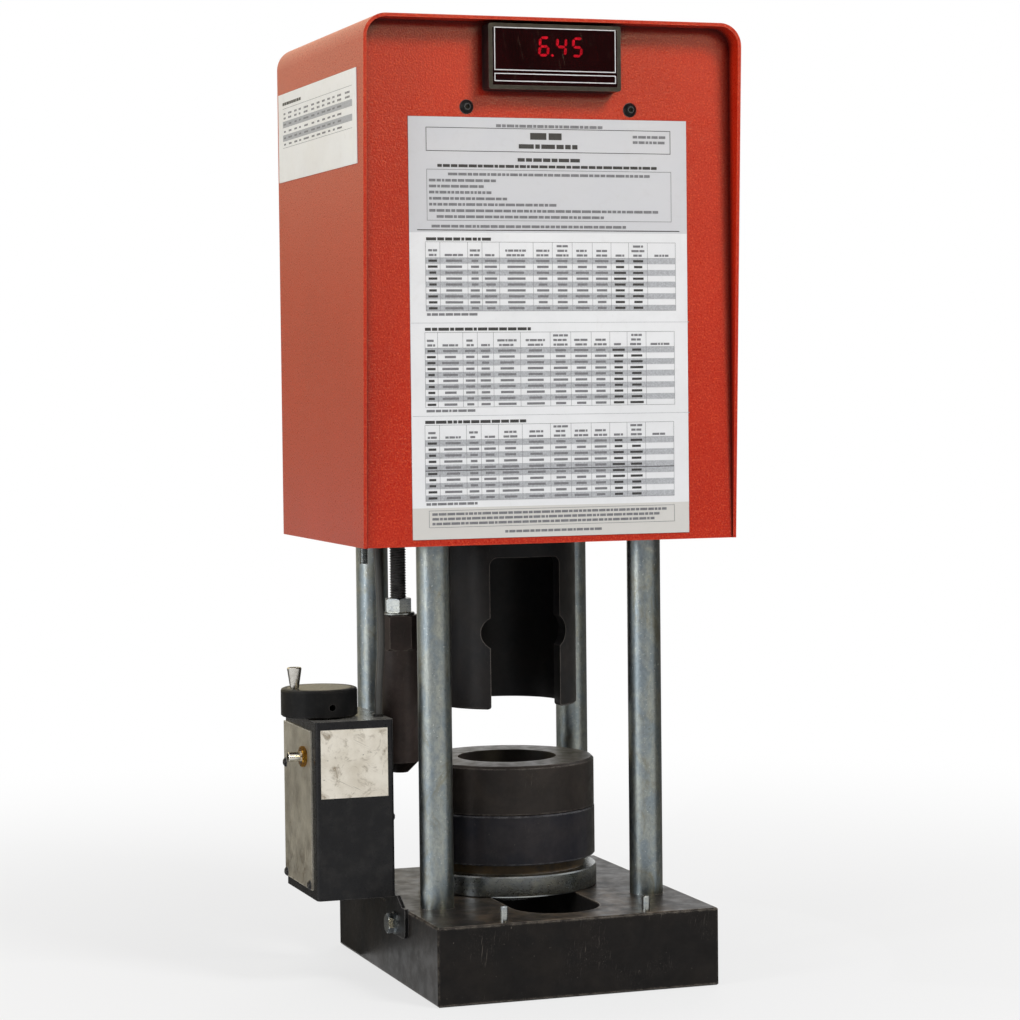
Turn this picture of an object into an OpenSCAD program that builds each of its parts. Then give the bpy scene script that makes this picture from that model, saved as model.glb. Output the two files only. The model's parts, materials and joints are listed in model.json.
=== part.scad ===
// Hose crimping machine: a four-column press with a sliding die set, a spring-returned ram
// and a setting box whose dial moves a limit switch beside the ram's actuator.
// Origin: centre of the die bore, at the underside of the base. +Y is the rear, +Z is up.

/* [Base] */
// Width of the base block
base_w = 219; // [205:1:240]
// From the die axis to the front face of the base
base_front = 162; // [156:1:180]
// From the die axis to the rear face of the base
base_rear = 99; // [96:1:115]
// Thickness of the base block
base_h = 58; // [50:1:70]
// Chamfer on the long edges of the base
base_chamfer = 1.2; // [0.5:0.1:3]
// Half width of the hose slot
slot_r = 34; // [31:0.5:37]
// Diameter of the two stop pins
pin_d = 6; // [4:0.5:8]
// Height of the stop pins above the base
pin_h = 11; // [8:0.5:14]
// How far each stop pin stands from the centre line
pin_x = 55.5; // [50:0.5:60]
// How far a stop pin is sunk into the base
pin_sink = 14; // [10:1:20]

/* [Columns] */
// Diameter of the four columns
col_d = 25.4; // [22:0.2:27]
// Distance between columns, left to right
col_x = 168; // [166:1:176]
// Distance between columns, front to rear
col_y = 162; // [156:1:166]
// Clear height between the base and the top plate
col_free = 564; // [558:1:590]
// Depth of the column seats in the base
col_seat = 12; // [8:1:20]
// Diameter of the threaded column tips
tip_d = 19; // [16:0.5:21]
// Diameter of the screws that hold the columns to the base
foot_screw_d = 12; // [8:1:14]

/* [Top plate] */
// Width of the top plate
top_w = 250; // [244:1:270]
// Thickness of the top plate
top_h = 40; // [34:1:46]

/* [Shroud] */
// Outside width of the shroud
shroud_w = 294; // [286:1:310]
// Height of the shroud
shroud_h = 385.3; // [382:0.1:400]
// Height of the shroud's lower edge above the floor
shroud_z = 330; // [326:1:332]
// Sheet thickness of the shroud
skin = 2.5; // [1.5:0.1:3]
// Outside radius of the shroud's upper bends
bend_r = 17; // [10:0.5:24]
// From the die axis to the face of the front panel
panel_front = 112; // [110:0.5:116]
// How far the wrapper stands in front of the panel, at the bottom
lip_low = 1.6; // [1:0.1:6]
// How far the wrapper stands in front of the panel, at the top
lip_top = 18.5; // [12:0.5:24]
// How far the wrapper reaches behind the rear panel
lip_rear = 14.1; // [8:0.1:20]
// Height of the panel screws below the top of the shroud
panel_screw_drop = 64.3; // [60:0.1:70]
// Distance of the panel screws from the centre line
panel_screw_x = 64; // [58:0.5:80]

/* [Meter] */
// Width of the meter's bezel
meter_w = 103; // [98:0.5:108]
// Height of the meter's bezel
meter_h = 47.8; // [46:0.1:49]
// Depth of the bezel in front of the panel
meter_d = 15; // [10:0.5:18]
// Gap between the bezel and the top of the shroud
meter_drop = 4.5; // [4:0.1:6]
// Depth of the meter's case behind the panel
case_depth = 60; // [40:1:64]
// Height of the lit digits
digit_h = 14.6; // [10:0.2:18]

/* [Chart and labels] */
// Width of the front chart
chart_w = 218; // [180:1:230]
// Height of the front chart
chart_h = 308.5; // [250:0.5:309]
// Height of the chart's lower edge above the shroud's lower edge
chart_rise = 5; // [3:0.5:12]
// Thickness of the chart and the labels
sheet_t = 0.4; // [0.2:0.1:0.8]
// Length of the side label
side_label_l = 223; // [180:1:230]
// Height of the side label
side_label_h = 69; // [50:1:80]
// Height of the side label's centre below the top of the shroud
side_label_drop = 71.8; // [65:0.1:90]

/* [Cylinder] */
// Bore of the hydraulic cylinder
cyl_bore = 100; // [90:1:106]
// Wall of the hydraulic cylinder
cyl_wall = 17.5; // [14:0.5:20]
// Length of the cylinder barrel
cyl_l = 190; // [182:1:200]
// Thickness of the cylinder's closed head
head_t = 42; // [36:1:46]
// Length of the gland in the open end
gland_l = 50; // [40:1:54]
// Diameter of the piston rod
rod_d = 60; // [50:1:64]
// Length of the piston
piston_l = 40; // [34:1:44]
// Radial running clearance between moving round parts
run_gap = 0.05; // [0.02:0.01:0.08]
// Diameter of the screws that hold the cylinder
cyl_screw_d = 10; // [8:1:12]

/* [Ram] */
// Gap between the raised pusher and the die set
ram_gap = 42; // [38:0.5:44]
// Thickness of the ram plate
ram_plate_h = 19; // [16:1:22]
// From a return spring to the end of the ram plate
ram_plate_lug = 12; // [9:0.5:16]
// Width of the ram plate's arms
ram_arm = 44; // [36:1:50]
// Outside diameter of the pusher sleeve
pusher_d = 109.6; // [104:0.2:114]
// Wall of the pusher sleeve
pusher_wall = 11.3; // [9:0.1:13]
// Length of the pusher sleeve
pusher_l = 145; // [138:1:146]
// Thickness of the pusher's closed end
pusher_end = 20; // [16:1:24]
// Width of the window in the front of the pusher
window_w = 56; // [44:1:60]
// Height of the window above the pusher's lower edge
window_h = 116; // [100:1:118]
// Radius of the round notches in the window's sides
notch_r = 13.4; // [8:0.1:15]
// Height of the notches above the pusher's lower edge
notch_z = 58.5; // [40:0.5:70]
// Distance of the notch centres from the centre line
notch_x = 21; // [18:0.5:23]

/* [Actuator] */
// Distance of the actuator from the die axis
act_x = 87; // [86:0.5:90]
// Diameter of the threaded actuator rod
act_rod_d = 12.7; // [10:0.1:14]
// Diameter of the actuator body
act_d = 29; // [26:0.5:29.5]
// Length of the actuator body, with its hexagon
act_l = 121.7; // [100:0.1:125]
// Length of the hexagon on the actuator body
act_hex = 26.7; // [20:0.1:32]
// Length of the chamfer under the actuator body
act_chamfer = 8.4; // [4:0.1:10]
// Height of the actuator's lower end above the floor, with the ram up
act_z = 150; // [144:0.5:156]

/* [Return springs] */
// From the side of the top plate to the axis of a return spring
spring_in = 11; // [9:0.5:13]
// Outside diameter of the springs
spring_d = 20; // [16:0.5:24]
// Wire diameter of the springs
wire_d = 3; // [2.5:0.1:3.5]
// Thickness of the eyebolts
eye_wire = 5.6; // [5:0.1:6.4]
// Inside radius of the eyes and the spring hooks
eye_r = 5.5; // [5:0.1:6.5]
// How far the lower eyebolts reach below the ram plate
eye_tail = 33.3; // [26:0.1:36]

/* [Die set] */
// Height of the silver support ring
ring_h = 16; // [13:0.5:19]
// Diameter of the support ring
ring_d = 138.2; // [136:0.2:140]
// Diameter of the neck above the support ring
neck_d = 120; // [112:1:128]
// Height of the neck
neck_h = 8; // [6:0.5:10]
// Height of the lower die cone ring
cone_low_h = 38; // [34:1:42]
// Step in from the support ring to the lower die cone ring
cone_low_step = 1.1; // [0.6:0.1:3]
// Height of the upper die cone ring
cone_top_h = 38; // [34:1:42]
// Step in from the lower die cone ring to the upper one
cone_top_step = 0.3; // [0:0.1:3]
// Diameter of the taper at the top of the die cone
taper_top = 77; // [70:0.5:84]
// Diameter of the taper at the bottom of the die cone
taper_low = 58; // [56:0.5:64]
// Diameter of the hose passage through the support ring
passage_d = 54; // [46:0.5:56]
// Depth of the support ring's guide boss in the slot
boss_h = 8; // [6:0.5:12]
// Travel of the die set towards the front
die_travel = 105.7; // [90:0.1:105.7]
// Clearance of the guide boss in the slot
slide_gap = 0.3; // [0.2:0.05:0.5]

/* [Setting box] */
// Width of the box, left to right
box_w = 60; // [56:1:66]
// Depth of the box, front to rear
box_d = 90; // [86:1:100]
// Height of the box
box_h = 133; // [128:1:142]
// Gap between the base and the box
box_gap = 4.5; // [4:0.5:8]
// From the die axis to the front of the box
box_front = 74; // [70:1:78]
// Height of the box's underside above the floor
box_z = 67; // [64:1:70]
// Sheet thickness of the box
box_skin = 1.5; // [1:0.1:2]
// Height of the label on the box's front
box_label_h = 51; // [30:1:60]
// From the top of the box to the label
box_label_drop = 6; // [3:0.5:12]
// From the left side of the box to the label
box_label_in = 3.5; // [2:0.5:8]
// Width of the label on the box's front
box_label_w = 51.5; // [40:0.5:54]
// Thickness of the bracket
bracket_t = 3; // [2.5:0.1:4]
// Thickness of the cover plate on the left side
cover_t = 1.2; // [0.8:0.1:2]
// Diameter of the sensor cable
cable_d = 5.6; // [4:0.2:6]

/* [Dial and switch] */
// From the left side of the box to the dial's axis
dial_in = 14; // [12:0.5:18]
// From the front of the box to the dial's axis
dial_back = 41; // [38:0.5:46]
// Diameter of the dial
dial_d = 57.6; // [50:0.2:62]
// Height of the dial
dial_h = 21; // [16:0.5:26]
// Diameter of the metal plate in the dial
dial_plate_d = 48; // [40:0.5:50]
// Distance of the crank handle from the dial's axis
crank_r = 20; // [17:0.5:21]
// Height of the crank handle
crank_h = 16; // [12:0.5:24]
// Diameter of the crank handle at the top
crank_top_d = 11; // [10:0.2:13]
// Diameter of the crank handle at the bottom
crank_low_d = 6.6; // [6:0.2:8]
// Diameter of the lead screw
screw_d = 8; // [6:0.5:9]
// Travel of the switch carriage to each side
carriage_travel = 18.2; // [12:0.1:19]
// Height of the switch above the floor, in mid travel
switch_z = 120; // [116:0.5:124]
// Diameter of the proximity switch
switch_d = 12; // [8:1:12]
// Gap between the switch's tip and the actuator
switch_gap = 2.5; // [1.5:0.1:4]
// Diameter of the connector's barrel
jack_d = 7.3; // [6:0.1:9]
// Height of the connector above the underside of the box
jack_rise = 105; // [98:0.5:108]
// From the front of the box to the connector
jack_back = 28; // [26:0.5:30]

/* [Screws and guides] */
// Diameter of the four panel screws
panel_screw_d = 6; // [4:0.5:8]
// Length of the panel screws
panel_screw_l = 14; // [10:1:20]
// How far the upper eyebolts reach into the top plate
eye_grip = 22; // [16:1:30]
// Diameter of the screws that hold the pusher
pusher_screw_d = 8; // [5:0.5:10]
// How far these screws reach into the pusher
pusher_screw_grip = 14; // [10:1:18]
// Diameter of the screws through the die set
die_screw_d = 8; // [5:0.5:8]
// How far these screws reach into the upper die cone ring
die_screw_grip = 18; // [12:1:24]
// Diameter of the bracket's bolt
bolt_d = 8; // [6:0.5:10]
// How far the bracket's bolt reaches into the base
bolt_grip = 16; // [12:1:24]
// Diameter of the setting box's small screws
box_screw_d = 4; // [3:0.5:5]
// Length of these screws
box_screw_l = 5; // [4:0.5:8]
// Diameter of the two screws in the bracket's shelf
shelf_screw_d = 5; // [4:0.5:6]
// Length of the shelf screws
shelf_screw_l = 8; // [6:0.5:12]
// From the cover's front edge, or the box's rear face, to a cover screw
cover_screw_in = 5.5; // [4:0.5:8]
// Height of the two lower cover screws above the cover's lower edge
cover_screw_low = 3.5; // [3:0.5:8]
// Height of the third cover screw above the box's underside
cover_screw_rise = 94; // [60:1:110]
// From the box's front face to the screw in its right side
side_screw_in = 8; // [6:0.5:12]
// Height of that screw above the box's underside
side_screw_rise = 59; // [40:1:100]
// Diameter of the carriage's guide rods
slide_rod_d = 6; // [4:0.5:7]
// From the left side of the box to the guide rods
slide_rod_side = 38; // [34:0.5:42]
// From the front of the box to the first guide rod
slide_rod_in = 12; // [10:0.5:16]
// Distance between the guide rods
slide_rod_span = 44; // [36:0.5:46]
// Height of the lead screw's bushes
bush_h = 4; // [3:0.5:6]
// Thickness of the bushes' flanges
bush_flange_t = 1; // [0.5:0.1:2]

/* [Hidden] */
$fn = 96;
// Overshoot of every cutting tool past the face that it cuts
cut = 1;
// Radial clearance of a screw or a seated spigot in its hole
seat_gap = 0.05;
// Clearance of a cover, screw or cable in a sheet-metal hole
hole_gap = 0.5;

// Heights of the main levels
top_z = base_h + col_free;
roof_z = shroud_z + shroud_h;
neck_z = base_h + ring_h;
spring_x = top_w / 2 - spring_in;
ram_plate_w = 2 * (spring_x + ram_plate_lug);
cone_low_d = ring_d - 2 * cone_low_step;
cone_top_d = cone_low_d - 2 * cone_top_step;
die_screw_seat = die_screw_d + 0.4;
cone_z = neck_z + neck_h;
seam_z = cone_z + cone_low_h;
die_top = seam_z + cone_top_h;
pusher_z = die_top + ram_gap;
ram_z = pusher_z + pusher_l;
ram_top = ram_z + ram_plate_h;

// Column tips, nuts and washers
tip_nut_h = 16;
tip_nut_af = 28.6;
washer_t = 3;

// Shroud planes, front to rear
plate_front = panel_front - skin;
wrap_rear = base_rear + skin + lip_rear;
side_in = shroud_w / 2 - skin;
screw_level = roof_z - panel_screw_drop;

// Cylinder levels
cyl_z = top_z - cyl_l;
cyl_r = cyl_bore / 2 + cyl_wall;
chamber_z = top_z - head_t;
piston_stop = 0.3;
piston_top = chamber_z - piston_stop;
piston_z = piston_top - piston_l;
rod_tip_d = 36;
rod_tip_l = ram_plate_h - 3;
port_d = 16;
port_z = chamber_z + head_t / 2;
wiper_h = 7;
wiper_wall = 5;
seal_h = 8;
seal_depth = 6;
cyl_screw_l = 52;
cyl_screw_r = cyl_bore / 2 + cyl_wall / 2 - 3;
inlet_af = 27;
hex_room = 15.5;
inlet_mouth = wrap_rear + 6.4;
inlet_thread_d = 17;
inlet_thread_l = 15;
rear_gland_x = 60;
rear_gland_z = port_z;
pusher_screw_r = rod_d / 2 + 12;

// Meter
meter_top = roof_z - meter_drop;
meter_z = meter_top - meter_h;
meter_case_w = meter_w - 11;
meter_case_h = meter_h - 7;
window_inset = 3;
window_t = 2;
digit_t = 1;
digit_w = 0.58 * digit_h;
digit_stroke = 0.13 * digit_h;
digit_step = 0.88 * digit_h;
digit_lean = 0.08;
digit_z = meter_z + 0.665 * meter_h;
digit_x = [-8.1, -8.1 + 1.05 * digit_step, -8.1 + 2.02 * digit_step];

// Return springs: the eyes are linked like a chain, in planes square to each other
spring_hook_r = eye_r + wire_d / 2;
eye_ring_r = eye_r + eye_wire / 2;
link = 2 * eye_r - 0.3;
eye_rise = eye_ring_r + eye_wire / 2 + 9;
low_eye_z = ram_top + eye_rise;
top_eye_z = top_z - eye_rise;
low_hook_z = low_eye_z + link;
top_hook_z = top_eye_z - link;
coil_z0 = low_hook_z + spring_hook_r + wire_d;
coil_z1 = top_hook_z - spring_hook_r - wire_d;
eye_nut_h = 5.5;
eye_nut_af = 10;

// Actuator
act_top = act_z + act_l;
flange_nut_h = 12.7;
lock_nut_h = 11;
lock_nut_af = 19;
act_rod_sink = 30;

// Setting box
box_x1 = -base_w / 2 - box_gap;
box_x0 = box_x1 - box_w;
box_y0 = -box_front;
box_y1 = box_y0 + box_d;
box_top = box_z + box_h;
box_corner = 3;
dial_x = box_x0 + dial_in;
dial_y = box_y0 + dial_back;
dial_z = box_top + 1;
dial_top = dial_z + dial_h;
dial_recess = 1;
crank_angle = 189;
crank_x = dial_x + crank_r * cos(crank_angle);
crank_y = dial_y + crank_r * sin(crank_angle);
crank_pin_d = 4;
crank_head_d = 7;
crank_head_h = 2;
crank_lift = 0.4;
jack_y = box_y0 + jack_back;
jack_z = box_z + jack_rise;
jack_af = 13.5;
jack_nut_t = 3.6;
jack_barrel_l = 9.4;
cable_x = box_x1 - 5.5;
cable_y = box_y0 + 22;
cable_bend = 18;
cable_level = meter_z + meter_h / 2;
gland_flange_r = cable_d / 2 + 1.15;
gland_neck_r = gland_flange_r - 0.65;
slide_rod_x = box_x0 + slide_rod_side;
slide_rod_y = [box_y0 + slide_rod_in, box_y0 + slide_rod_in + slide_rod_span];
carriage_h = 18;
carriage_z = switch_z - carriage_h / 2;
carriage_x0 = box_x0 + 5;
carriage_x1 = box_x1 - 8;
carriage_y0 = box_y0 + 6;
carriage_y1 = box_y1 - 6;
switch_y = 0;
switch_tip = -act_x - act_d / 2 - switch_gap;
switch_l = 36;
sensor_x = box_x0 + 14;
sensor_y = box_y1 - 12;
sensor_rod_d = 4;
sensor_z0 = switch_z + carriage_h / 2 + carriage_travel + 2;
sensor_z1 = box_top - box_skin;
bush_flange_r = screw_d / 2 + 4;
bush_r = screw_d / 2 + 2;
cover_y0 = box_y0 + 12;
cover_z0 = box_z + 6.5;
cover_z1 = box_top - 7.5;
shelf_y0 = -46;
shelf_x0 = box_x0 + 12;
leg_z0 = 37;
leg_step_z = 60;
bolt_y = -67;
bolt_z = 46;
tab_half = 24;

// ---------- shared shapes ----------

// Flat rectangle with round corners, centred on X and Y
module round_rect(w, d, r) {
  square([w - 2 * r, d], center = true);
  square([w, d - 2 * r], center = true);
  for (sx = [-1, 1], sy = [-1, 1]) translate([sx * (w / 2 - r), sy * (d / 2 - r)]) circle(r = r);
}

// Upright block with round vertical edges, from its low corner to its high corner
module round_block(x0, x1, y0, y1, z0, z1, r) {
  translate([(x0 + x1) / 2, (y0 + y1) / 2, z0])
    linear_extrude(z1 - z0) round_rect(x1 - x0, y1 - y0, r);
}

module block(x0, x1, y0, y1, z0, z1) {
  translate([x0, y0, z0]) cube([x1 - x0, y1 - y0, z1 - z0]);
}

// Round bar along Z with chamfered ends
module bar(d, z0, z1, chamfer) {
  r = d / 2;
  c = chamfer;
  rotate_extrude() polygon([[0, z0], [r - c, z0], [r, z0 + c], [r, z1 - c], [r - c, z1], [0, z1]]);
}

module tube(od, id, z0, z1) {
  rotate_extrude() translate([id / 2, z0]) square([(od - id) / 2, z1 - z0]);
}

// Hexagon whose corners are turned off, as on a nut or a bolt head
module turned_hexagon(af, h) {
  corner = af / cos(30) / 2;
  c = corner - af / 2;
  intersection() {
    cylinder(r = corner, h = h, $fn = 6);
    bar(2 * corner, 0, h, c * 0.7);
  }
}

module hex_nut(af, h, bore) {
  difference() {
    turned_hexagon(af, h);
    translate([0, 0, -cut]) cylinder(d = bore, h = h + 2 * cut);
  }
}

// Hexagon bolt: the head stands above z = 0 and the shank reaches below it
module hex_bolt(d, l, af, head_h) {
  turned_hexagon(af, head_h);
  translate([0, 0, -l]) cylinder(d = d, h = l);
}

// Socket head cap screw: the head stands above z = 0 and the shank reaches below it
module cap_screw(d, l) {
  head_h = d;
  difference() {
    bar(1.6 * d, 0, head_h, 0.06 * d);
    translate([0, 0, 0.45 * head_h]) cylinder(d = 0.8 * d / cos(30), h = head_h, $fn = 6);
  }
  translate([0, 0, -l]) cylinder(d = d, h = l);
}

// Button head screw with a hexagon socket
module button_screw(d, l) {
  head_r = 0.9 * d;
  head_h = 0.55 * d;
  dome_r = (head_r * head_r + head_h * head_h) / (2 * head_h);
  difference() {
    rotate_extrude() intersection() {
      translate([0, head_h - dome_r]) circle(r = dome_r);
      square([head_r, head_h]);
    }
    translate([0, 0, 0.35 * head_h]) cylinder(d = 0.62 * d / cos(30), h = head_h, $fn = 6);
  }
  translate([0, 0, -l]) cylinder(d = d, h = l);
}

// Pan head screw with a cross slot
module pan_screw(d, l) {
  head_r = 0.95 * d;
  head_h = 0.6 * d;
  dome_r = (head_r * head_r + head_h * head_h) / (2 * head_h);
  difference() {
    rotate_extrude() intersection() {
      translate([0, head_h - dome_r]) circle(r = dome_r);
      square([head_r, head_h]);
    }
    for (a = [0, 90]) rotate(a) translate([-0.55 * d, -0.09 * d, 0.5 * head_h])
      cube([1.1 * d, 0.18 * d, head_h]);
  }
  translate([0, 0, -l]) cylinder(d = d, h = l);
}

// Ring of round wire in the plane across Y, centred on the origin
module wire_ring(r, wire) {
  rotate([90, 0, 0]) rotate_extrude() translate([r, 0]) circle(d = wire);
}

module at_columns() {
  for (sx = [-1, 1], sy = [-1, 1]) translate([sx * col_x / 2, sy * col_y / 2]) children();
}

module at_springs() {
  for (sx = [-1, 1]) translate([sx * spring_x, 0]) children();
}

module at_stop_pins() {
  stop_reach = ring_d / 2 + pin_d / 2 + slide_gap;
  stop_y = -die_travel - sqrt(stop_reach * stop_reach - pin_x * pin_x);
  for (sx = [-1, 1]) translate([sx * pin_x, stop_y]) children();
}

// ---------- base and columns ----------

// Long edges of the base, drawn along Y and along X
module chamfered_profile(w, h, c) {
  polygon([[c, 0], [w - c, 0], [w, c], [w, h - c], [w - c, h], [c, h], [0, h - c], [0, c]]);
}

module base_plate() color([0.13, 0.11, 0.1]) {
  base_d = base_front + base_rear;
  slot_front = die_travel + slide_gap;
  foot_head = 1.6 * foot_screw_d + 1.2;
  difference() {
    intersection() {
      round_block(-base_w / 2, base_w / 2, -base_front, base_rear, 0, base_h, 1.5);
      translate([-base_w / 2, base_rear, 0]) rotate([90, 0, 0])
        linear_extrude(base_d) chamfered_profile(base_w, base_h, base_chamfer);
      translate([-base_w / 2, -base_front, 0]) rotate([90, 0, 90])
        linear_extrude(base_w) chamfered_profile(base_d, base_h, base_chamfer);
    }
    translate([0, 0, -cut]) {
      cylinder(r = slot_r, h = base_h + 2 * cut);
      translate([0, -slot_front]) cylinder(r = slot_r, h = base_h + 2 * cut);
      translate([-slot_r, -slot_front]) cube([2 * slot_r, slot_front, base_h + 2 * cut]);
    }
    at_columns() {
      translate([0, 0, base_h - col_seat]) cylinder(d = col_d + 2 * seat_gap, h = col_seat + cut);
      translate([0, 0, -cut]) cylinder(d = foot_screw_d + 1, h = base_h);
      translate([0, 0, -cut]) cylinder(d = foot_head, h = foot_screw_d + 1 + cut);
    }
    at_stop_pins() translate([0, 0, base_h - pin_sink]) cylinder(d = pin_d, h = pin_sink + cut);
    translate([-base_w / 2 - cut, bolt_y, bolt_z]) rotate([0, 90, 0])
      cylinder(d = bolt_d, h = bolt_grip + 2 + cut);
  }
}

// Slotted spring pins, standing on end in the base
module stop_pins() color([0.7, 0.71, 0.72]) {
  at_stop_pins() difference() {
    bar(pin_d, base_h - pin_sink, base_h + pin_h, 0.8);
    translate([0, 0, base_h - pin_sink - cut]) cylinder(d = pin_d - 2.4, h = pin_sink + pin_h + 2 * cut);
    translate([-0.6, 0, base_h - pin_sink - cut]) cube([1.2, pin_d, pin_sink + pin_h + 2 * cut]);
  }
}

module columns() color([0.62, 0.65, 0.68]) {
  tip_z = top_z + top_h + tip_nut_h + washer_t + 3;
  at_columns() difference() {
    union() {
      bar(col_d, base_h - col_seat, top_z, 0.6);
      bar(tip_d, top_z - 1, tip_z, 1);
    }
    translate([0, 0, base_h - col_seat - cut]) cylinder(d = foot_screw_d + 2 * seat_gap, h = 36 + cut);
  }
}

module column_base_screws() color([0.2, 0.2, 0.2]) {
  at_columns() translate([0, 0, foot_screw_d + 1]) rotate([180, 0, 0])
    cap_screw(foot_screw_d, base_h - foot_screw_d - 1 - col_seat + 28);
}

module column_nuts() color([0.66, 0.67, 0.68]) {
  at_columns() translate([0, 0, top_z + top_h]) {
    tube(1.2 * tip_nut_af, tip_d + 1, 0, washer_t);
    translate([0, 0, washer_t]) hex_nut(tip_nut_af, tip_nut_h, tip_d + 2 * seat_gap);
  }
}

module top_plate() color([0.16, 0.16, 0.17]) {
  notch = cable_d + 8;
  screw_hole = panel_screw_l + 2;
  difference() {
    round_block(-top_w / 2, top_w / 2, -plate_front, base_rear, top_z, top_z + top_h, 3);
    translate([0, 0, top_z - cut]) {
      at_columns() cylinder(d = tip_d + 2 * seat_gap, h = top_h + 2 * cut);
      at_springs() cylinder(d = eye_wire, h = eye_grip + 2 + cut);
      for (a = [0:60:300]) rotate(a) translate([cyl_screw_r, 0]) {
        cylinder(d = cyl_screw_d + 1, h = top_h + 2 * cut);
        translate([0, 0, top_h - cyl_screw_d]) cylinder(d = 1.6 * cyl_screw_d + 1, h = top_h);
      }
      translate([-top_w / 2 - cut, cable_y - notch / 2])
        cube([top_w / 2 + cable_x + cut, notch, top_h + 2 * cut]);
      translate([cable_x, cable_y]) cylinder(d = notch, h = top_h + 2 * cut);
    }
    for (sx = [-1, 1]) translate([sx * panel_screw_x, 0, screw_level]) {
      translate([0, -plate_front + screw_hole, 0]) rotate([90, 0, 0])
        cylinder(d = panel_screw_d, h = screw_hole + cut);
      translate([0, base_rear - screw_hole, 0]) rotate([-90, 0, 0])
        cylinder(d = panel_screw_d, h = screw_hole + cut);
    }
  }
}

// ---------- hydraulic cylinder ----------

module cylinder_barrel() color([0.22, 0.22, 0.23]) {
  difference() {
    bar(2 * cyl_r, cyl_z, top_z, 2);
    translate([0, 0, cyl_z - cut]) cylinder(d = cyl_bore, h = cyl_l - head_t + cut);
    translate([0, 0, port_z]) rotate([-90, 0, 0]) cylinder(d = port_d, h = cyl_r + cut);
    translate([0, 0, chamber_z - cut]) cylinder(d = 8, h = port_z - chamber_z + cut);
    for (a = [0:60:300]) rotate(a)
      translate([cyl_screw_r, 0, top_z + top_h - cyl_screw_d - cyl_screw_l - 2])
        cylinder(d = cyl_screw_d, h = cyl_screw_l);
  }
}

module cylinder_screws() color([0.15, 0.15, 0.15]) {
  for (a = [0:60:300]) rotate(a) translate([cyl_screw_r, 0, top_z + top_h - cyl_screw_d])
    cap_screw(cyl_screw_d, cyl_screw_l);
}

// Screwed ring that closes the barrel, guides the rod and holds the wiper
module cylinder_gland() color([0.45, 0.45, 0.46]) {
  difference() {
    bar(cyl_bore, cyl_z - 4, cyl_z + gland_l, 1);
    translate([0, 0, cyl_z - 4 - cut]) {
      cylinder(d = rod_d + 2 * run_gap, h = gland_l + 4 + 2 * cut);
      cylinder(d = rod_d + 2 * wiper_wall, h = wiper_h + cut);
    }
    for (a = [45:90:315]) rotate(a) translate([(cyl_bore + rod_d) / 4 + 2, 0, cyl_z - 4 - cut])
      cylinder(d = 6, h = 12);
  }
}

module rod_wiper() color([0.08, 0.08, 0.08]) {
  z0 = cyl_z - 4;
  inner = rod_d / 2 + run_gap;
  outer = rod_d / 2 + wiper_wall;
  rotate_extrude() polygon([[inner, z0 - 1.5], [inner + 1, z0 - 1.5], [inner + 2, z0], [outer, z0],
                            [outer, z0 + wiper_h], [inner, z0 + wiper_h]]);
}

module piston() color([0.6, 0.6, 0.6]) {
  r = cyl_bore / 2 - run_gap;
  seal_z = piston_z + piston_l / 2;
  difference() {
    bar(2 * r, piston_z, piston_top, 1.5);
    tube(2 * r + 2 * cut, 2 * (r - seal_depth), seal_z, seal_z + seal_h);
    translate([0, 0, piston_z - cut]) cylinder(d = rod_tip_d, h = piston_l + 2 * cut);
  }
}

module piston_seal() color([0.1, 0.25, 0.5]) {
  r = cyl_bore / 2 - run_gap;
  seal_z = piston_z + piston_l / 2;
  tube(2 * r, 2 * (r - seal_depth), seal_z, seal_z + seal_h);
}

// Rod with a spigot in the piston and a screwed tip in the ram plate
module piston_rod() color([0.8, 0.8, 0.82]) {
  bar(rod_d, ram_top, piston_z, 1);
  bar(rod_tip_d, ram_top - rod_tip_l, ram_top + 2, 1);
  bar(rod_tip_d, piston_z - 2, piston_top, 1);
}

// Adapter screwed into the cylinder head, with a hose thread behind the rear panel
module hydraulic_inlet() color([0.6, 0.58, 0.5]) {
  collar_y = base_rear + skin + 2;
  hex_y = cyl_r;
  hex_l = base_rear - cyl_r - hex_room;
  translate([0, 0, port_z]) rotate([-90, 0, 0]) difference() {
    union() {
      translate([0, 0, cyl_r - 14]) cylinder(d = port_d, h = 15);
      translate([0, 0, hex_y]) turned_hexagon(inlet_af, hex_l);
      translate([0, 0, hex_y + 1]) cylinder(d = 20, h = inlet_mouth - hex_y - 2);
      translate([0, 0, collar_y]) turned_hexagon(inlet_af, inlet_mouth - collar_y);
    }
    translate([0, 0, cyl_r - 15]) cylinder(d = 8, h = inlet_mouth - cyl_r + 16);
    translate([0, 0, inlet_mouth - inlet_thread_l]) cylinder(d = inlet_thread_d, h = inlet_thread_l + cut);
  }
}

// ---------- shroud ----------

// Outline of the shroud as seen from the front, inset by a distance
module shroud_outline(inset) {
  w = shroud_w - 2 * inset;
  top = roof_z - inset;
  r = bend_r - inset;
  translate([-w / 2, shroud_z]) square([w, top - r - shroud_z]);
  translate([-w / 2 + r, shroud_z]) square([w - 2 * r, top - shroud_z]);
  for (sx = [-1, 1]) translate([sx * (w / 2 - r), top - r]) circle(r = r);
}

// Stands the drawing in X and Z up, from y0 to y1
module along_y(y0, y1) {
  translate([0, y1, 0]) rotate([90, 0, 0]) linear_extrude(y1 - y0) children();
}

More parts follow.
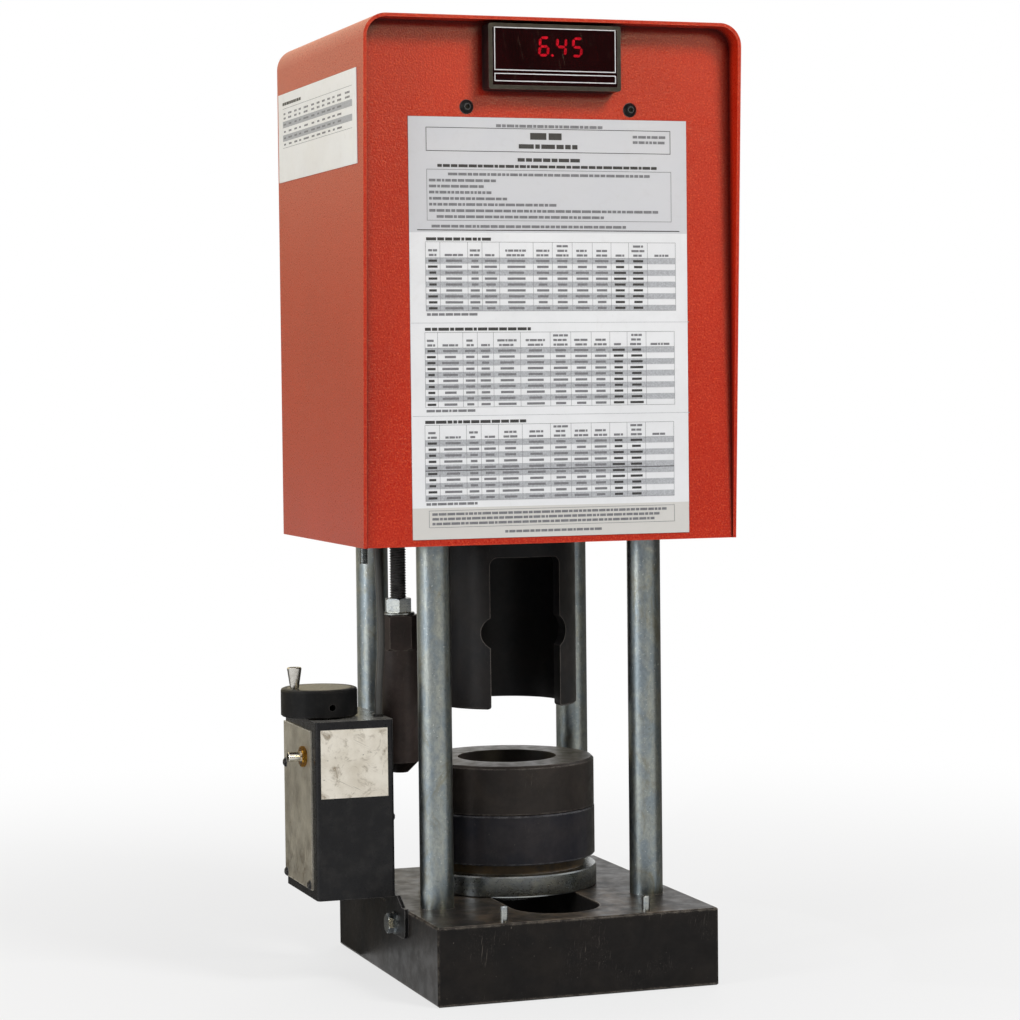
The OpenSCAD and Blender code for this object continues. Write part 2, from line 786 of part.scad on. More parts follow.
module shroud_wrapper() color([0.76, 0.2, 0.14]) {
  low = panel_front + lip_low;
  high = panel_front + lip_top;
  intersection() {
    along_y(-high - cut, wrap_rear + cut) difference() {
      shroud_outline(0);
      shroud_outline(skin);
      translate([-side_in, shroud_z - cut]) square([2 * side_in, 2 * cut]);
    }
    translate([-shroud_w / 2 - cut, 0, 0]) rotate([90, 0, 90]) linear_extrude(shroud_w + 2 * cut)
      polygon([[-low, shroud_z], [wrap_rear, shroud_z], [wrap_rear, roof_z + cut], [-high, roof_z + cut]]);
  }
}

module shroud_front_panel() color([0.76, 0.2, 0.14]) {
  mid = (meter_z + meter_top) / 2;
  difference() {
    along_y(-panel_front, -plate_front) difference() {
      shroud_outline(skin);
      translate([0, mid]) square([meter_case_w + 2 * hole_gap, meter_case_h + 2 * hole_gap], center = true);
    }
    for (sx = [-1, 1]) translate([sx * panel_screw_x, -plate_front + cut, screw_level])
      rotate([90, 0, 0]) cylinder(d = panel_screw_d + 2 * hole_gap, h = skin + 2 * cut);
  }
}

module shroud_rear_panel() color([0.76, 0.2, 0.14]) {
  difference() {
    along_y(base_rear, base_rear + skin) shroud_outline(skin);
    translate([0, base_rear - cut, port_z]) rotate([-90, 0, 0]) cylinder(d = 24, h = skin + 2 * cut);
    translate([rear_gland_x, base_rear - cut, rear_gland_z]) rotate([-90, 0, 0])
      cylinder(r = gland_neck_r, h = skin + 2 * cut);
    for (sx = [-1, 1]) translate([sx * panel_screw_x, base_rear - cut, screw_level])
      rotate([-90, 0, 0]) cylinder(d = panel_screw_d + 2 * hole_gap, h = skin + 2 * cut);
  }
}

module panel_screws() color([0.07, 0.07, 0.07]) {
  for (sx = [-1, 1]) translate([sx * panel_screw_x, 0, screw_level]) {
    translate([0, -panel_front, 0]) rotate([90, 0, 0]) button_screw(panel_screw_d, panel_screw_l);
    translate([0, base_rear + skin, 0]) rotate([-90, 0, 0]) button_screw(panel_screw_d, panel_screw_l);
  }
}

// Rubber gland, open for a cable, with its flange outside the sheet and a lip inside
module gland(sheet) {
  difference() {
    union() {
      bar(2 * gland_flange_r, 0, 2, 0.3);
      translate([0, 0, -sheet - 1]) cylinder(r = gland_neck_r, h = sheet + 2);
      translate([0, 0, -sheet - 2.5]) cylinder(r = gland_flange_r, h = 2.5);
    }
    translate([0, 0, -sheet - 4]) cylinder(d = cable_d + 2 * seat_gap, h = sheet + 8);
  }
}

module cable_glands() color([0.05, 0.05, 0.05]) {
  translate([cable_x, cable_y, box_top]) gland(box_skin);
  translate([rear_gland_x, base_rear + skin, rear_gland_z]) rotate([-90, 0, 0]) gland(skin);
}

// ---------- meter ----------

module meter_bezel() color([0.04, 0.04, 0.04]) {
  mid = (meter_z + meter_top) / 2;
  glass_w = meter_w - 2 * window_inset;
  glass_h = meter_h - 2 * window_inset;
  difference() {
    along_y(-panel_front - meter_d, -panel_front) translate([0, mid]) round_rect(meter_w, meter_h, 2);
    along_y(-panel_front - meter_d - cut, -panel_front - meter_d + window_t)
      translate([0, mid]) square([glass_w, glass_h], center = true);
    along_y(-panel_front - meter_d, -panel_front + cut)
      translate([0, mid]) square([meter_case_w, meter_case_h], center = true);
  }
}

module meter_window() color([0.06, 0.02, 0.02]) {
  mid = (meter_z + meter_top) / 2;
  glass_w = meter_w - 2 * window_inset;
  glass_h = meter_h - 2 * window_inset;
  along_y(-panel_front - meter_d, -panel_front - meter_d + window_t)
    translate([0, mid]) square([glass_w, glass_h], center = true);
}

module meter_case() color([0.05, 0.05, 0.05]) {
  mid = (meter_z + meter_top) / 2;
  front = -panel_front - meter_d + window_t + digit_t;
  along_y(front, -panel_front + case_depth)
    translate([0, mid]) square([meter_case_w, meter_case_h], center = true);
}

// Outline of one bar of a digit, lying along X
function bar_outline(l, w) = [[-l / 2, 0], [-l / 2 + w / 2, w / 2], [l / 2 - w / 2, w / 2],
                              [l / 2, 0], [l / 2 - w / 2, -w / 2], [-l / 2 + w / 2, -w / 2]];

// Seven-segment digit. Order: top, upper right, lower right, bottom, lower left, upper left, middle
module digit(lit) {
  w = digit_stroke;
  side = (digit_w - w) / 2;
  level = (digit_h - w) / 2;
  flat_l = digit_w - 1.5 * w;
  tall_l = level - 0.5 * w;
  place = [[0, level], [side, level / 2], [side, -level / 2], [0, -level],
           [-side, -level / 2], [-side, level / 2], [0, 0]];
  for (i = [0:6]) if (lit[i] == 1) {
    upright = place[i][0] != 0;
    flat = bar_outline(upright ? tall_l : flat_l, w);
    polygon([for (p = flat)
      let(q = place[i] + (upright ? [-p[1], p[0]] : p)) [q[0] + digit_lean * q[1], q[1]]]);
  }
}

// A reading of three digits with one decimal point
module meter_digits() color([0.9, 0.05, 0.08]) {
  shown = [[1, 0, 1, 1, 1, 1, 1], [0, 1, 1, 0, 0, 1, 1], [1, 0, 1, 1, 0, 1, 1]];
  front = -panel_front - meter_d + window_t;
  along_y(front, front + digit_t) {
    for (i = [0:2]) translate([digit_x[i], digit_z]) digit(shown[i]);
    translate([digit_x[0] + digit_step / 2, digit_z - digit_h / 2 + digit_stroke / 2])
      circle(d = digit_stroke);
  }
}

// ---------- chart and labels ----------

module crimp_chart() color([0.86, 0.87, 0.88]) {
  z0 = shroud_z + chart_rise;
  block(-chart_w / 2, chart_w / 2, -panel_front - sheet_t, -panel_front, z0, z0 + chart_h);
}

module side_label() color([0.88, 0.88, 0.86]) {
  mid = roof_z - side_label_drop;
  x = -shroud_w / 2;
  block(x - sheet_t, x, -side_label_l / 2, side_label_l / 2, mid - side_label_h / 2, mid + side_label_h / 2);
}

module box_label() color([0.8, 0.79, 0.72]) {
  x0 = box_x0 + box_label_in;
  z1 = box_top - box_label_drop;
  block(x0, x0 + box_label_w, box_y0 - sheet_t, box_y0, z1 - box_label_h, z1);
}

// ---------- ram ----------

module ram_plate() color([0.16, 0.15, 0.15]) {
  difference() {
    union() {
      bar(pusher_d + 4, ram_z, ram_top, 1.5);
      round_block(-ram_plate_w / 2, ram_plate_w / 2, -ram_arm / 2, ram_arm / 2, ram_z, ram_top, 6);
    }
    translate([0, 0, ram_top - rod_tip_l]) cylinder(d = rod_tip_d, h = rod_tip_l + cut);
    translate([0, 0, ram_z - cut]) {
      translate([-act_x, 0]) cylinder(d = act_rod_d + 2 * seat_gap, h = ram_plate_h + 2 * cut);
      at_springs() cylinder(d = eye_wire + 2 * seat_gap, h = ram_plate_h + 2 * cut);
      for (a = [45:90:315]) rotate(a) translate([pusher_screw_r, 0])
        cylinder(d = pusher_screw_d + 1, h = ram_plate_h + 2 * cut);
    }
  }
}

module pusher_screws() color([0.12, 0.12, 0.12]) {
  for (a = [45:90:315]) rotate(a) translate([pusher_screw_r, 0, ram_top]) 
    cap_screw(pusher_screw_d, ram_plate_h + pusher_screw_grip);
}

// What is cut away to round a lower corner of the pusher's window
module mouth_corner(side, r) {
  mirror([side < 0 ? 1 : 0, 0]) translate([window_w / 2, pusher_z]) difference() {
    translate([-r, -cut]) square([2 * r, r + cut]);
    translate([r, r]) circle(r = r);
  }
}

module pusher_sleeve() color([0.07, 0.07, 0.07]) {
  bore = pusher_d - 2 * pusher_wall;
  corner = 6;
  lip = 2.5;
  difference() {
    bar(pusher_d, pusher_z, ram_z, 1);
    translate([0, 0, pusher_z - cut]) cylinder(d = bore, h = pusher_l - pusher_end + cut);
    along_y(-pusher_d, 0) {
      translate([-window_w / 2, pusher_z - cut]) square([window_w, window_h - corner + cut]);
      translate([-window_w / 2 + corner, pusher_z]) square([window_w - 2 * corner, window_h]);
      for (sx = [-1, 1]) {
        translate([sx * (window_w / 2 - corner), pusher_z + window_h - corner]) circle(r = corner);
        translate([sx * notch_x, pusher_z + notch_z]) circle(r = notch_r);
        mouth_corner(sx, lip);
      }
    }
    for (a = [45:90:315]) rotate(a) translate([pusher_screw_r, 0, ram_z - pusher_screw_grip - 2])
      cylinder(d = pusher_screw_d, h = pusher_screw_grip + 2 + cut);
  }
}

// ---------- actuator ----------

module at_actuator() {
  translate([-act_x, 0]) children();
}

module actuator_rod() color([0.08, 0.07, 0.08]) {
  at_actuator() bar(act_rod_d, act_top - act_rod_sink, ram_top + 34, 1);
}

module actuator_lock_nuts() color([0.4, 0.4, 0.4]) {
  at_actuator() for (z = [ram_z - lock_nut_h, ram_top]) translate([0, 0, z])
    rotate(12) hex_nut(lock_nut_af, lock_nut_h, act_rod_d + 2 * seat_gap);
}

module actuator_flange_nut() color([0.55, 0.56, 0.5]) {
  flange_t = 1.6;
  at_actuator() translate([0, 0, act_top]) {
    difference() {
      union() {
        bar(1.32 * lock_nut_af, 0, flange_t + 0.4, 0.5);
        translate([0, 0, flange_t]) rotate(18) turned_hexagon(lock_nut_af, flange_nut_h - flange_t);
      }
      translate([0, 0, -cut]) cylinder(d = act_rod_d + 2 * seat_gap, h = flange_nut_h + 2 * cut);
    }
  }
}

module actuator_body() color([0.2, 0.16, 0.15]) {
  r = act_d / 2;
  at_actuator() difference() {
    union() {
      rotate_extrude() polygon([[0, act_z], [r - act_chamfer, act_z], [r, act_z + act_chamfer],
                                [r, act_top - act_hex + 1], [0, act_top - act_hex + 1]]);
      translate([0, 0, act_top - act_hex]) rotate(-10) turned_hexagon(act_d, act_hex);
    }
    translate([0, 0, act_top - act_rod_sink]) cylinder(d = act_rod_d + 2 * seat_gap, h = act_rod_sink + cut);
  }
}

// ---------- return springs ----------

module lower_eyebolts() color([0.66, 0.66, 0.64]) {
  at_springs() {
    bar(eye_wire, ram_z - eye_tail, low_eye_z - eye_ring_r, 0.6);
    translate([0, 0, low_eye_z]) wire_ring(eye_ring_r, eye_wire);
  }
}

module upper_eyebolts() color([0.66, 0.66, 0.64]) {
  at_springs() {
    bar(eye_wire, top_eye_z + eye_ring_r, top_z + eye_grip, 0.6);
    translate([0, 0, top_eye_z]) wire_ring(eye_ring_r, eye_wire);
  }
}

module eyebolt_nuts() color([0.7, 0.7, 0.68]) {
  at_springs() for (z = [ram_z - eye_nut_h, ram_top]) translate([0, 0, z])
    hex_nut(eye_nut_af, eye_nut_h, eye_wire + 2 * seat_gap);
}

// Close-wound coils with a hook at each end; each hook runs through an eye
module return_springs() color([0.5, 0.5, 0.52]) {
  turns = floor((coil_z1 - coil_z0) / wire_d);
  pitch = (coil_z1 - coil_z0) / turns;
  coil_r = (spring_d - wire_d) / 2;
  at_springs() {
    rotate_extrude($fn = 48)
      for (i = [0:turns]) translate([coil_r, coil_z0 + i * pitch]) circle(d = 1.06 * pitch, $fn = 24);
    for (end = [[low_hook_z, coil_z0, 1], [top_hook_z, coil_z1, -1]]) {
      translate([0, 0, end[0]]) rotate(90) wire_ring(spring_hook_r, wire_d);
      translate([0, 0, end[0] + end[2] * spring_hook_r - wire_d / 4])
        mirror([0, 0, end[2] < 0 ? 1 : 0]) cylinder(d = wire_d, h = 1.5 * wire_d);
      translate([-coil_r, -wire_d / 2, end[1] - wire_d / 2]) cube([2 * coil_r, wire_d, wire_d]);
    }
  }
}

// ---------- die set ----------

// Ring on the base, with a boss that slides in the slot
module die_support_ring() color([0.72, 0.73, 0.75]) {
  difference() {
    union() {
      bar(ring_d, base_h, neck_z, 1);
      translate([0, 0, base_h - boss_h]) cylinder(r = slot_r - slide_gap, h = boss_h + 1);
    }
    translate([0, 0, base_h - boss_h - cut]) cylinder(d = passage_d, h = ring_h + boss_h + 2 * cut);
    at_die_screws() {
      translate([0, 0, base_h - cut]) cylinder(d = die_screw_d + 1, h = ring_h + 2 * cut);
      translate([0, 0, base_h - cut]) cylinder(d = 1.6 * die_screw_d + 1, h = die_screw_seat + cut);
    }
  }
}

module at_die_screws() {
  for (a = [60:120:300]) rotate(a) translate([neck_d / 2 - 10, 0]) children();
}

// Half of the die cone's taper at a height above its foot
function taper_r(h) = (taper_low + (taper_top - taper_low) * h / (cone_low_h + cone_top_h)) / 2;

module die_cone_lower() color([0.16, 0.17, 0.19]) {
  neck_r = neck_d / 2;
  r = cone_low_d / 2;
  c = 0.8;
  difference() {
    rotate_extrude() polygon([[taper_r(0), neck_z], [neck_r, neck_z], [neck_r, cone_z], [r - c, cone_z],
                              [r, cone_z + c], [r, seam_z - c], [r - c, seam_z],
                              [taper_r(cone_low_h), seam_z], [taper_r(0), cone_z]]);
    at_die_screws() translate([0, 0, neck_z - cut])
      cylinder(d = die_screw_d + 1, h = neck_h + cone_low_h + 2 * cut);
  }
}

module die_cone_upper() color([0.15, 0.13, 0.12]) {
  r = cone_top_d / 2;
  c = 1;
  edge = 2;
  difference() {
    rotate_extrude() polygon([[taper_r(cone_low_h), seam_z], [r - c, seam_z], [r, seam_z + c],
                              [r, die_top - edge], [r - edge, die_top],
                              [taper_r(cone_low_h + cone_top_h), die_top]]);
    at_die_screws() translate([0, 0, seam_z - cut])
      cylinder(d = die_screw_d, h = die_screw_grip + 2 + cut);
  }
}

module die_stack_screws() color([0.12, 0.12, 0.12]) {
  at_die_screws() translate([0, 0, base_h + die_screw_seat]) rotate([180, 0, 0])
    cap_screw(die_screw_d, seam_z - base_h - die_screw_seat + die_screw_grip);
}

// ---------- setting box ----------

// Folded bracket: a tab on the side of the base, a leg above it and a shelf under the box
module box_bracket() color([0.09, 0.08, 0.08]) {
  x0 = -base_w / 2 - bracket_t;
  y0 = bolt_y - tab_half;
  y1 = bolt_y + tab_half;
  toe = 6;
  difference() {
    union() {
      translate([x0, 0, 0]) rotate([90, 0, 90]) linear_extrude(bracket_t) {
        translate([y0 + toe, leg_z0]) square([2 * (tab_half - toe), leg_step_z - leg_z0]);
        translate([y0, leg_z0 + toe]) square([2 * tab_half, leg_step_z - leg_z0 - toe]);
        for (y = [y0 + toe, y1 - toe]) translate([y, leg_z0 + toe]) circle(r = toe);
        polygon([[y0 + 6, leg_step_z - 1], [y0 + 20, box_z], [box_y1, box_z], [box_y1, leg_step_z - 1]]);
      }
      block(shelf_x0, x0 + 1, shelf_y0, box_y1, box_z - bracket_t, box_z);
    }
    translate([x0 - cut, bolt_y, bolt_z]) rotate([0, 90, 0])
      cylinder(d = bolt_d + 1, h = bracket_t + 2 * cut);
    at_shelf_screws() translate([0, 0, box_z - bracket_t - cut])
      cylinder(d = shelf_screw_d, h = bracket_t + 2 * cut);
  }
}

module at_shelf_screws() {
  for (y = [shelf_y0 + 8, box_y1 - 12]) translate([(box_x0 + box_x1) / 2 + 1, y]) children();
}

module bracket_bolt() color([0.75, 0.76, 0.76]) {
  washer = 1.6;
  translate([-base_w / 2 - bracket_t, bolt_y, bolt_z]) rotate([0, -90, 0]) {
    tube(2.1 * bolt_d, bolt_d + 2 * seat_gap, 0, washer);
    translate([0, 0, washer]) rotate(11) hex_bolt(bolt_d, bolt_grip + bracket_t, 13, 5.5);
  }
}

module control_box_case() color([0.06, 0.06, 0.06]) {
  s = box_skin;
  slot_half = switch_d / 2 + 2;
  slot_reach = carriage_travel + slot_half;
  difference() {
    round_block(box_x0, box_x1, box_y0, box_y1, box_z, box_top, box_corner);
    round_block(box_x0 + s, box_x1 - s, box_y0 + s, box_y1 - s, box_z + s, box_top - s, box_corner - s);
    block(box_x0 - cut, box_x0 + s + cut, cover_y0 + 8, box_y1 - 8, cover_z0 + 8, cover_z1 - 8);
    block(box_x1 - s - cut, box_x1 + cut, switch_y - slot_half, switch_y + slot_half,
          switch_z - slot_reach, switch_z + slot_reach);
    translate([dial_x, dial_y, box_top - s - cut]) cylinder(r = bush_r, h = s + 2 * cut);
    translate([cable_x, cable_y, box_top - s - cut]) cylinder(r = gland_neck_r, h = s + 2 * cut);
    at_shelf_screws() translate([0, 0, box_z - cut]) cylinder(d = shelf_screw_d, h = s + 2 * cut);
    translate([box_x1 - s - cut, box_y0 + side_screw_in, box_z + side_screw_rise]) rotate([0, 90, 0])
      cylinder(d = box_screw_d, h = s + 2 * cut);
    at_cover_screws() cylinder(d = box_screw_d, h = s + cut);
  }
}

// Cover screws: two at the foot of the plate, one at its rear edge; the connector holds the fourth corner
module at_cover_screws() {
  front_y = cover_y0 + cover_screw_in;
  rear_y = box_y1 - cover_screw_in;
  low_z = cover_z0 + cover_screw_low;
  for (p = [[front_y, low_z], [rear_y, low_z], [rear_y, box_z + cover_screw_rise]])
    translate([box_x0, p[0], p[1]]) rotate([0, 90, 0]) children();
}

module control_box_cover() color([0.66, 0.64, 0.58]) {
  difference() {
    block(box_x0 - cover_t, box_x0, cover_y0, box_y1 - 0.5, cover_z0, cover_z1);
    at_cover_screws() translate([0, 0, -cover_t - cut]) cylinder(d = 4.4, h = cover_t + 2 * cut);
    translate([box_x0 - cover_t - cut, jack_y, jack_z]) rotate([0, 90, 0])
      cylinder(d = jack_d + 2.2, h = cover_t + 2 * cut);
  }
}

module box_screws() color([0.07, 0.07, 0.07]) {
  at_cover_screws() translate([0, 0, -cover_t]) rotate([180, 0, 0]) pan_screw(box_screw_d, box_screw_l);
  translate([box_x1, box_y0 + side_screw_in, box_z + side_screw_rise]) rotate([0, 90, 0])
    pan_screw(box_screw_d, box_screw_l);
  at_shelf_screws() translate([0, 0, box_z - bracket_t]) rotate([180, 0, 0])
    pan_screw(shelf_screw_d, shelf_screw_l);
}

// Connector: barrel outside, threaded body through the cover
module cable_jack() color([0.78, 0.77, 0.74]) {
  nut_face = -cover_t - jack_nut_t;
  translate([box_x0, jack_y, jack_z]) rotate([0, 90, 0]) difference() {
    union() {
      bar(jack_d, nut_face - jack_barrel_l, nut_face + 1, 0.5);
      translate([0, 0, nut_face]) cylinder(d = jack_d + 2, h = 12 - nut_face);
      cylinder(d = jack_d + 5, h = 2.5);
    }
    translate([0, 0, nut_face - jack_barrel_l - cut]) cylinder(d = jack_d - 2, h = 7);
  }
}

module jack_nut() color([0.72, 0.52, 0.2]) {
  translate([box_x0 - cover_t, jack_y, jack_z]) rotate([0, -90, 0])
    rotate(9) hex_nut(jack_af, jack_nut_t, jack_d + 2 + 2 * seat_gap);
}

// Horizontal direction of a heading, and the direction to its right
function ahead(a) = [cos(a), sin(a), 0];
function right_of(a) = [sin(a), -cos(a), 0];

// Tube of round wire along a list of [point, direction] pairs, none of them along the side vector
module swept_tube(path, d, side, sides) {
  rings = [for (p = path)
    let(u = cross(p[1], side), n1 = u / norm(u), n2 = cross(p[1], n1))
    for (k = [0:sides - 1]) p[0] + d / 2 * (cos(360 * k / sides) * n1 + sin(360 * k / sides) * n2)];
  last = len(path) - 1;
  walls = [for (i = [0:last - 1], k = [0:sides - 1])
    let(a = i * sides + k, b = i * sides + (k + 1) % sides) [a + sides, b + sides, b, a]];
  start = [for (k = [0:sides - 1]) k];
  end = [for (k = [sides - 1:-1:0]) last * sides + k];
  polyhedron(rings, concat([start], walls, [end]), convexity = 8);
}

// Cable from the setting box, up past the ram plate and the top plate, to the rear of the meter
module sensor_cable() color([0.2, 0.2, 0.19]) {
  b = cable_bend;
  heading = 30;
  turn = 90 + heading;
  end_x = -24;
  plug_l = 12;
  plug_y = -panel_front + case_depth;
  bottom = [cable_x, cable_y, box_top - 12];
  top = [cable_x, cable_y, cable_level - b];
  turned = b * (right_of(heading) - right_of(-90));
  across = (end_x - cable_x - turned[0]) / cos(heading) - b;
  bend_end = top + b * ahead(heading) + [0, 0, b];
  turn_start = bend_end + across * ahead(heading);
  turn_centre = turn_start + b * right_of(heading);
  route = concat(
    [for (k = [0:4]) [bottom + k / 4 * (top - bottom), [0, 0, 1]]],
    [for (a = [18:18:90]) [top + b * (1 - cos(a)) * ahead(heading) + [0, 0, b * sin(a)],
                           sin(a) * ahead(heading) + [0, 0, cos(a)]]],
    [for (a = [0:20:turn]) [turn_centre - b * right_of(heading - a), ahead(heading - a)]],
    [[[end_x, plug_y + plug_l, cable_level], [0, -1, 0]]]);
  swept_tube(route, cable_d, ahead(60), 12);
  block(end_x - 14, end_x + 14, plug_y, plug_y + plug_l, cable_level - 6, cable_level + 6);
}

// ---------- dial and lead screw ----------

module at_dial() {
  translate([dial_x, dial_y]) children();
}

module screw_bushes() color([0.6, 0.42, 0.2]) {
  bore = screw_d + 2 * run_gap;
  sheet_top = box_top - box_skin;
  floor_z = box_z + box_skin;
  at_dial() {
    tube(2 * bush_flange_r, bore, sheet_top - bush_h, sheet_top);
    tube(2 * bush_r, bore, sheet_top - bush_flange_t, box_top + 0.5);
    tube(2 * bush_flange_r, bore, floor_z + bush_flange_t, floor_z + bush_h);
    translate([0, 0, floor_z]) cylinder(r = bush_flange_r, h = bush_flange_t);
  }
}

module lead_screw() color([0.7, 0.7, 0.72]) {
  collar_z = box_top - box_skin - bush_h - 0.3;
  at_dial() {
    bar(screw_d, box_z + box_skin + bush_flange_t + 0.3, dial_top - dial_recess - 1, 0.5);
    bar(screw_d + 4, collar_z - 4, collar_z, 0.4);
  }
}

module dial_knob() color([0.05, 0.05, 0.05]) {
  r = dial_d / 2;
  set_screw_angle = -85;
  difference() {
    at_dial() rotate_extrude() polygon([[screw_d / 2, dial_z], [r - 1, dial_z], [r, dial_z + 1],
      [r, dial_top - 2], [r - 0.6, dial_top - 0.6], [r - 2, dial_top],
      [dial_plate_d / 2 + 0.1, dial_top], [dial_plate_d / 2 + 0.1, dial_top - dial_recess],
      [screw_d / 2, dial_top - dial_recess]]);
    at_dial() rotate(set_screw_angle) translate([screw_d / 2 - 1, 0, dial_z + 8]) rotate([0, 90, 0])
      cylinder(d = 5, h = r);
    translate([crank_x, crank_y, dial_z + 4]) cylinder(d = crank_pin_d + 2 * seat_gap, h = dial_h);
  }
}

module dial_plate() color([0.62, 0.62, 0.6]) {
  difference() {
    at_dial() bar(dial_plate_d, dial_top - dial_recess, dial_top, 0.2);
    translate([crank_x, crank_y, dial_top - dial_recess - cut])
      cylinder(d = crank_pin_d + 0.4, h = dial_recess + 2 * cut);
  }
}

// Tapered handle that spins on its screw
module crank_handle() color([0.78, 0.77, 0.74]) {
  bore = crank_pin_d / 2 + run_gap;
  well = crank_head_d / 2 + 0.4;
  z0 = dial_top + crank_lift;
  z1 = dial_top + crank_h;
  seat = z1 - crank_head_h - 0.8;
  translate([crank_x, crank_y]) rotate_extrude()
    polygon([[bore, z0], [crank_low_d / 2, z0], [crank_top_d / 2, z1 - 0.8], [crank_top_d / 2 - 0.5, z1],
             [well, z1], [well, seat], [bore, seat]]);
}

module crank_screw() color([0.3, 0.3, 0.3]) {
  seat = dial_top + crank_h - crank_head_h - 0.8;
  translate([crank_x, crank_y]) {
    bar(crank_pin_d, dial_z + 5, seat + 1, 0.3);
    difference() {
      bar(crank_head_d, seat + 0.2, seat + 0.2 + crank_head_h, 0.4);
      translate([-crank_head_d, -0.5, seat + crank_head_h - 0.6]) cube([2 * crank_head_d, 1, 2]);
    }
  }
}

module guide_rods() color([0.75, 0.76, 0.78]) {
  for (y = slide_rod_y) translate([slide_rod_x, y])
    bar(slide_rod_d, box_z + box_skin, box_top - box_skin, 0.3);
}

// Block that the lead screw moves; it carries the switch and pushes the position sensor
module switch_carriage() color([0.25, 0.3, 0.35]) {
  tall = carriage_h + 2 * cut;
  difference() {
    round_block(carriage_x0, carriage_x1, carriage_y0, carriage_y1, carriage_z, carriage_z + carriage_h, 2);
    translate([0, 0, carriage_z - cut]) {
      at_dial() cylinder(d = screw_d + 2 * run_gap, h = tall);
      for (y = slide_rod_y) translate([slide_rod_x, y]) cylinder(d = slide_rod_d + 2 * run_gap, h = tall);
    }
    translate([sensor_x, sensor_y, switch_z]) cylinder(d = sensor_rod_d, h = carriage_h);
    translate([switch_tip - switch_l, switch_y, switch_z]) rotate([0, 90, 0])
      cylinder(d = switch_d, h = switch_l);
  }
}

module proximity_switch() color([0.7, 0.62, 0.4]) {
  cap = 5;
  translate([switch_tip, switch_y, switch_z]) rotate([0, -90, 0]) {
    bar(switch_d, cap, switch_l, 0.5);
    bar(switch_d - 1, 0, cap + 1, 0.6);
  }
}

module position_sensor_body() color([0.12, 0.14, 0.2]) {
  wall = box_y1 - box_skin;
  difference() {
    block(sensor_x - 7, sensor_x + 7, sensor_y - 7, wall, sensor_z0, sensor_z1);
    translate([sensor_x, sensor_y, sensor_z0 - cut])
      cylinder(d = sensor_rod_d + 2 * run_gap, h = sensor_z1 - sensor_z0 - 2);
  }
}

module position_sensor_rod() color([0.8, 0.8, 0.82]) {
  translate([sensor_x, sensor_y]) bar(sensor_rod_d, switch_z, sensor_z0 + carriage_travel + 6, 0.3);
}

// ---------- assembly ----------

base_plate();
stop_pins();
columns();
column_base_screws();
top_plate();
column_nuts();
cylinder_barrel();
cylinder_screws();
cylinder_gland();
rod_wiper();
hydraulic_inlet();
upper_eyebolts();
shroud_wrapper();
shroud_front_panel();
shroud_rear_panel();
panel_screws();
cable_glands();
meter_bezel();
meter_case();
meter_window();
meter_digits();
crimp_chart();
side_label();
piston();
piston_seal();
piston_rod();
ram_plate();
pusher_screws();
pusher_sleeve();
actuator_rod();
actuator_lock_nuts();
actuator_flange_nut();
actuator_body();
lower_eyebolts();
eyebolt_nuts();
return_springs();
die_support_ring();
die_cone_lower();
die_cone_upper();
die_stack_screws();
box_bracket();
bracket_bolt();
control_box_case();
control_box_cover();
box_screws();
box_label();
cable_jack();
jack_nut();
sensor_cable();
guide_rods();
screw_bushes();
lead_screw();
dial_knob();
dial_plate();
crank_handle();
crank_screw();
switch_carriage();
proximity_switch();
position_sensor_body();
position_sensor_rod();
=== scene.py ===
"""Looks of the hose crimping machine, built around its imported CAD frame."""

import json
import math
import random

import bmesh
import bpy
from mathutils import Matrix, Vector


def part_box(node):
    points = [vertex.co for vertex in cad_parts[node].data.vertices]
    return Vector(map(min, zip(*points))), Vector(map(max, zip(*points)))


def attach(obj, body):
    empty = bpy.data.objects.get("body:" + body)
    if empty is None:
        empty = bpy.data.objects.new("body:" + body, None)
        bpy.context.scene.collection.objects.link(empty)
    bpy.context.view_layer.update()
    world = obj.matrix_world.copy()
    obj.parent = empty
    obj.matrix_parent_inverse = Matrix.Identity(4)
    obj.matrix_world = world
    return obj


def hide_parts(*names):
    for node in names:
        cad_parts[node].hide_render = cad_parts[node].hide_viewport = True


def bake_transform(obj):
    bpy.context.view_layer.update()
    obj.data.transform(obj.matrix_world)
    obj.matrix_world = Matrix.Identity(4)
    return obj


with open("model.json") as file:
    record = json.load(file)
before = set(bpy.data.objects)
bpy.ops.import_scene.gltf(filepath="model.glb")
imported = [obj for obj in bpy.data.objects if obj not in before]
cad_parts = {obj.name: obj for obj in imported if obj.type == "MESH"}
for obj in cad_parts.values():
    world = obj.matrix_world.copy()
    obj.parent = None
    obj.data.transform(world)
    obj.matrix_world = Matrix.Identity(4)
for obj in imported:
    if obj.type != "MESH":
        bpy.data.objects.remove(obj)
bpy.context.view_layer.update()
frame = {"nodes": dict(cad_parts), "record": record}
MM = 0.001  # one millimetre in metres


# ---------- camera ----------

# The photo's camera, solved from the straight edges of the base, the columns and the shroud.
CAMERA_PLACE = (-0.73925, -2.16103, 0.45267)
CAMERA_YAW, CAMERA_PITCH, CAMERA_ROLL = 19.0, 2.574, -0.622  # degrees
CAMERA_LENS, CAMERA_SENSOR = 103.65, 36  # mm
CAMERA_REACH = 100


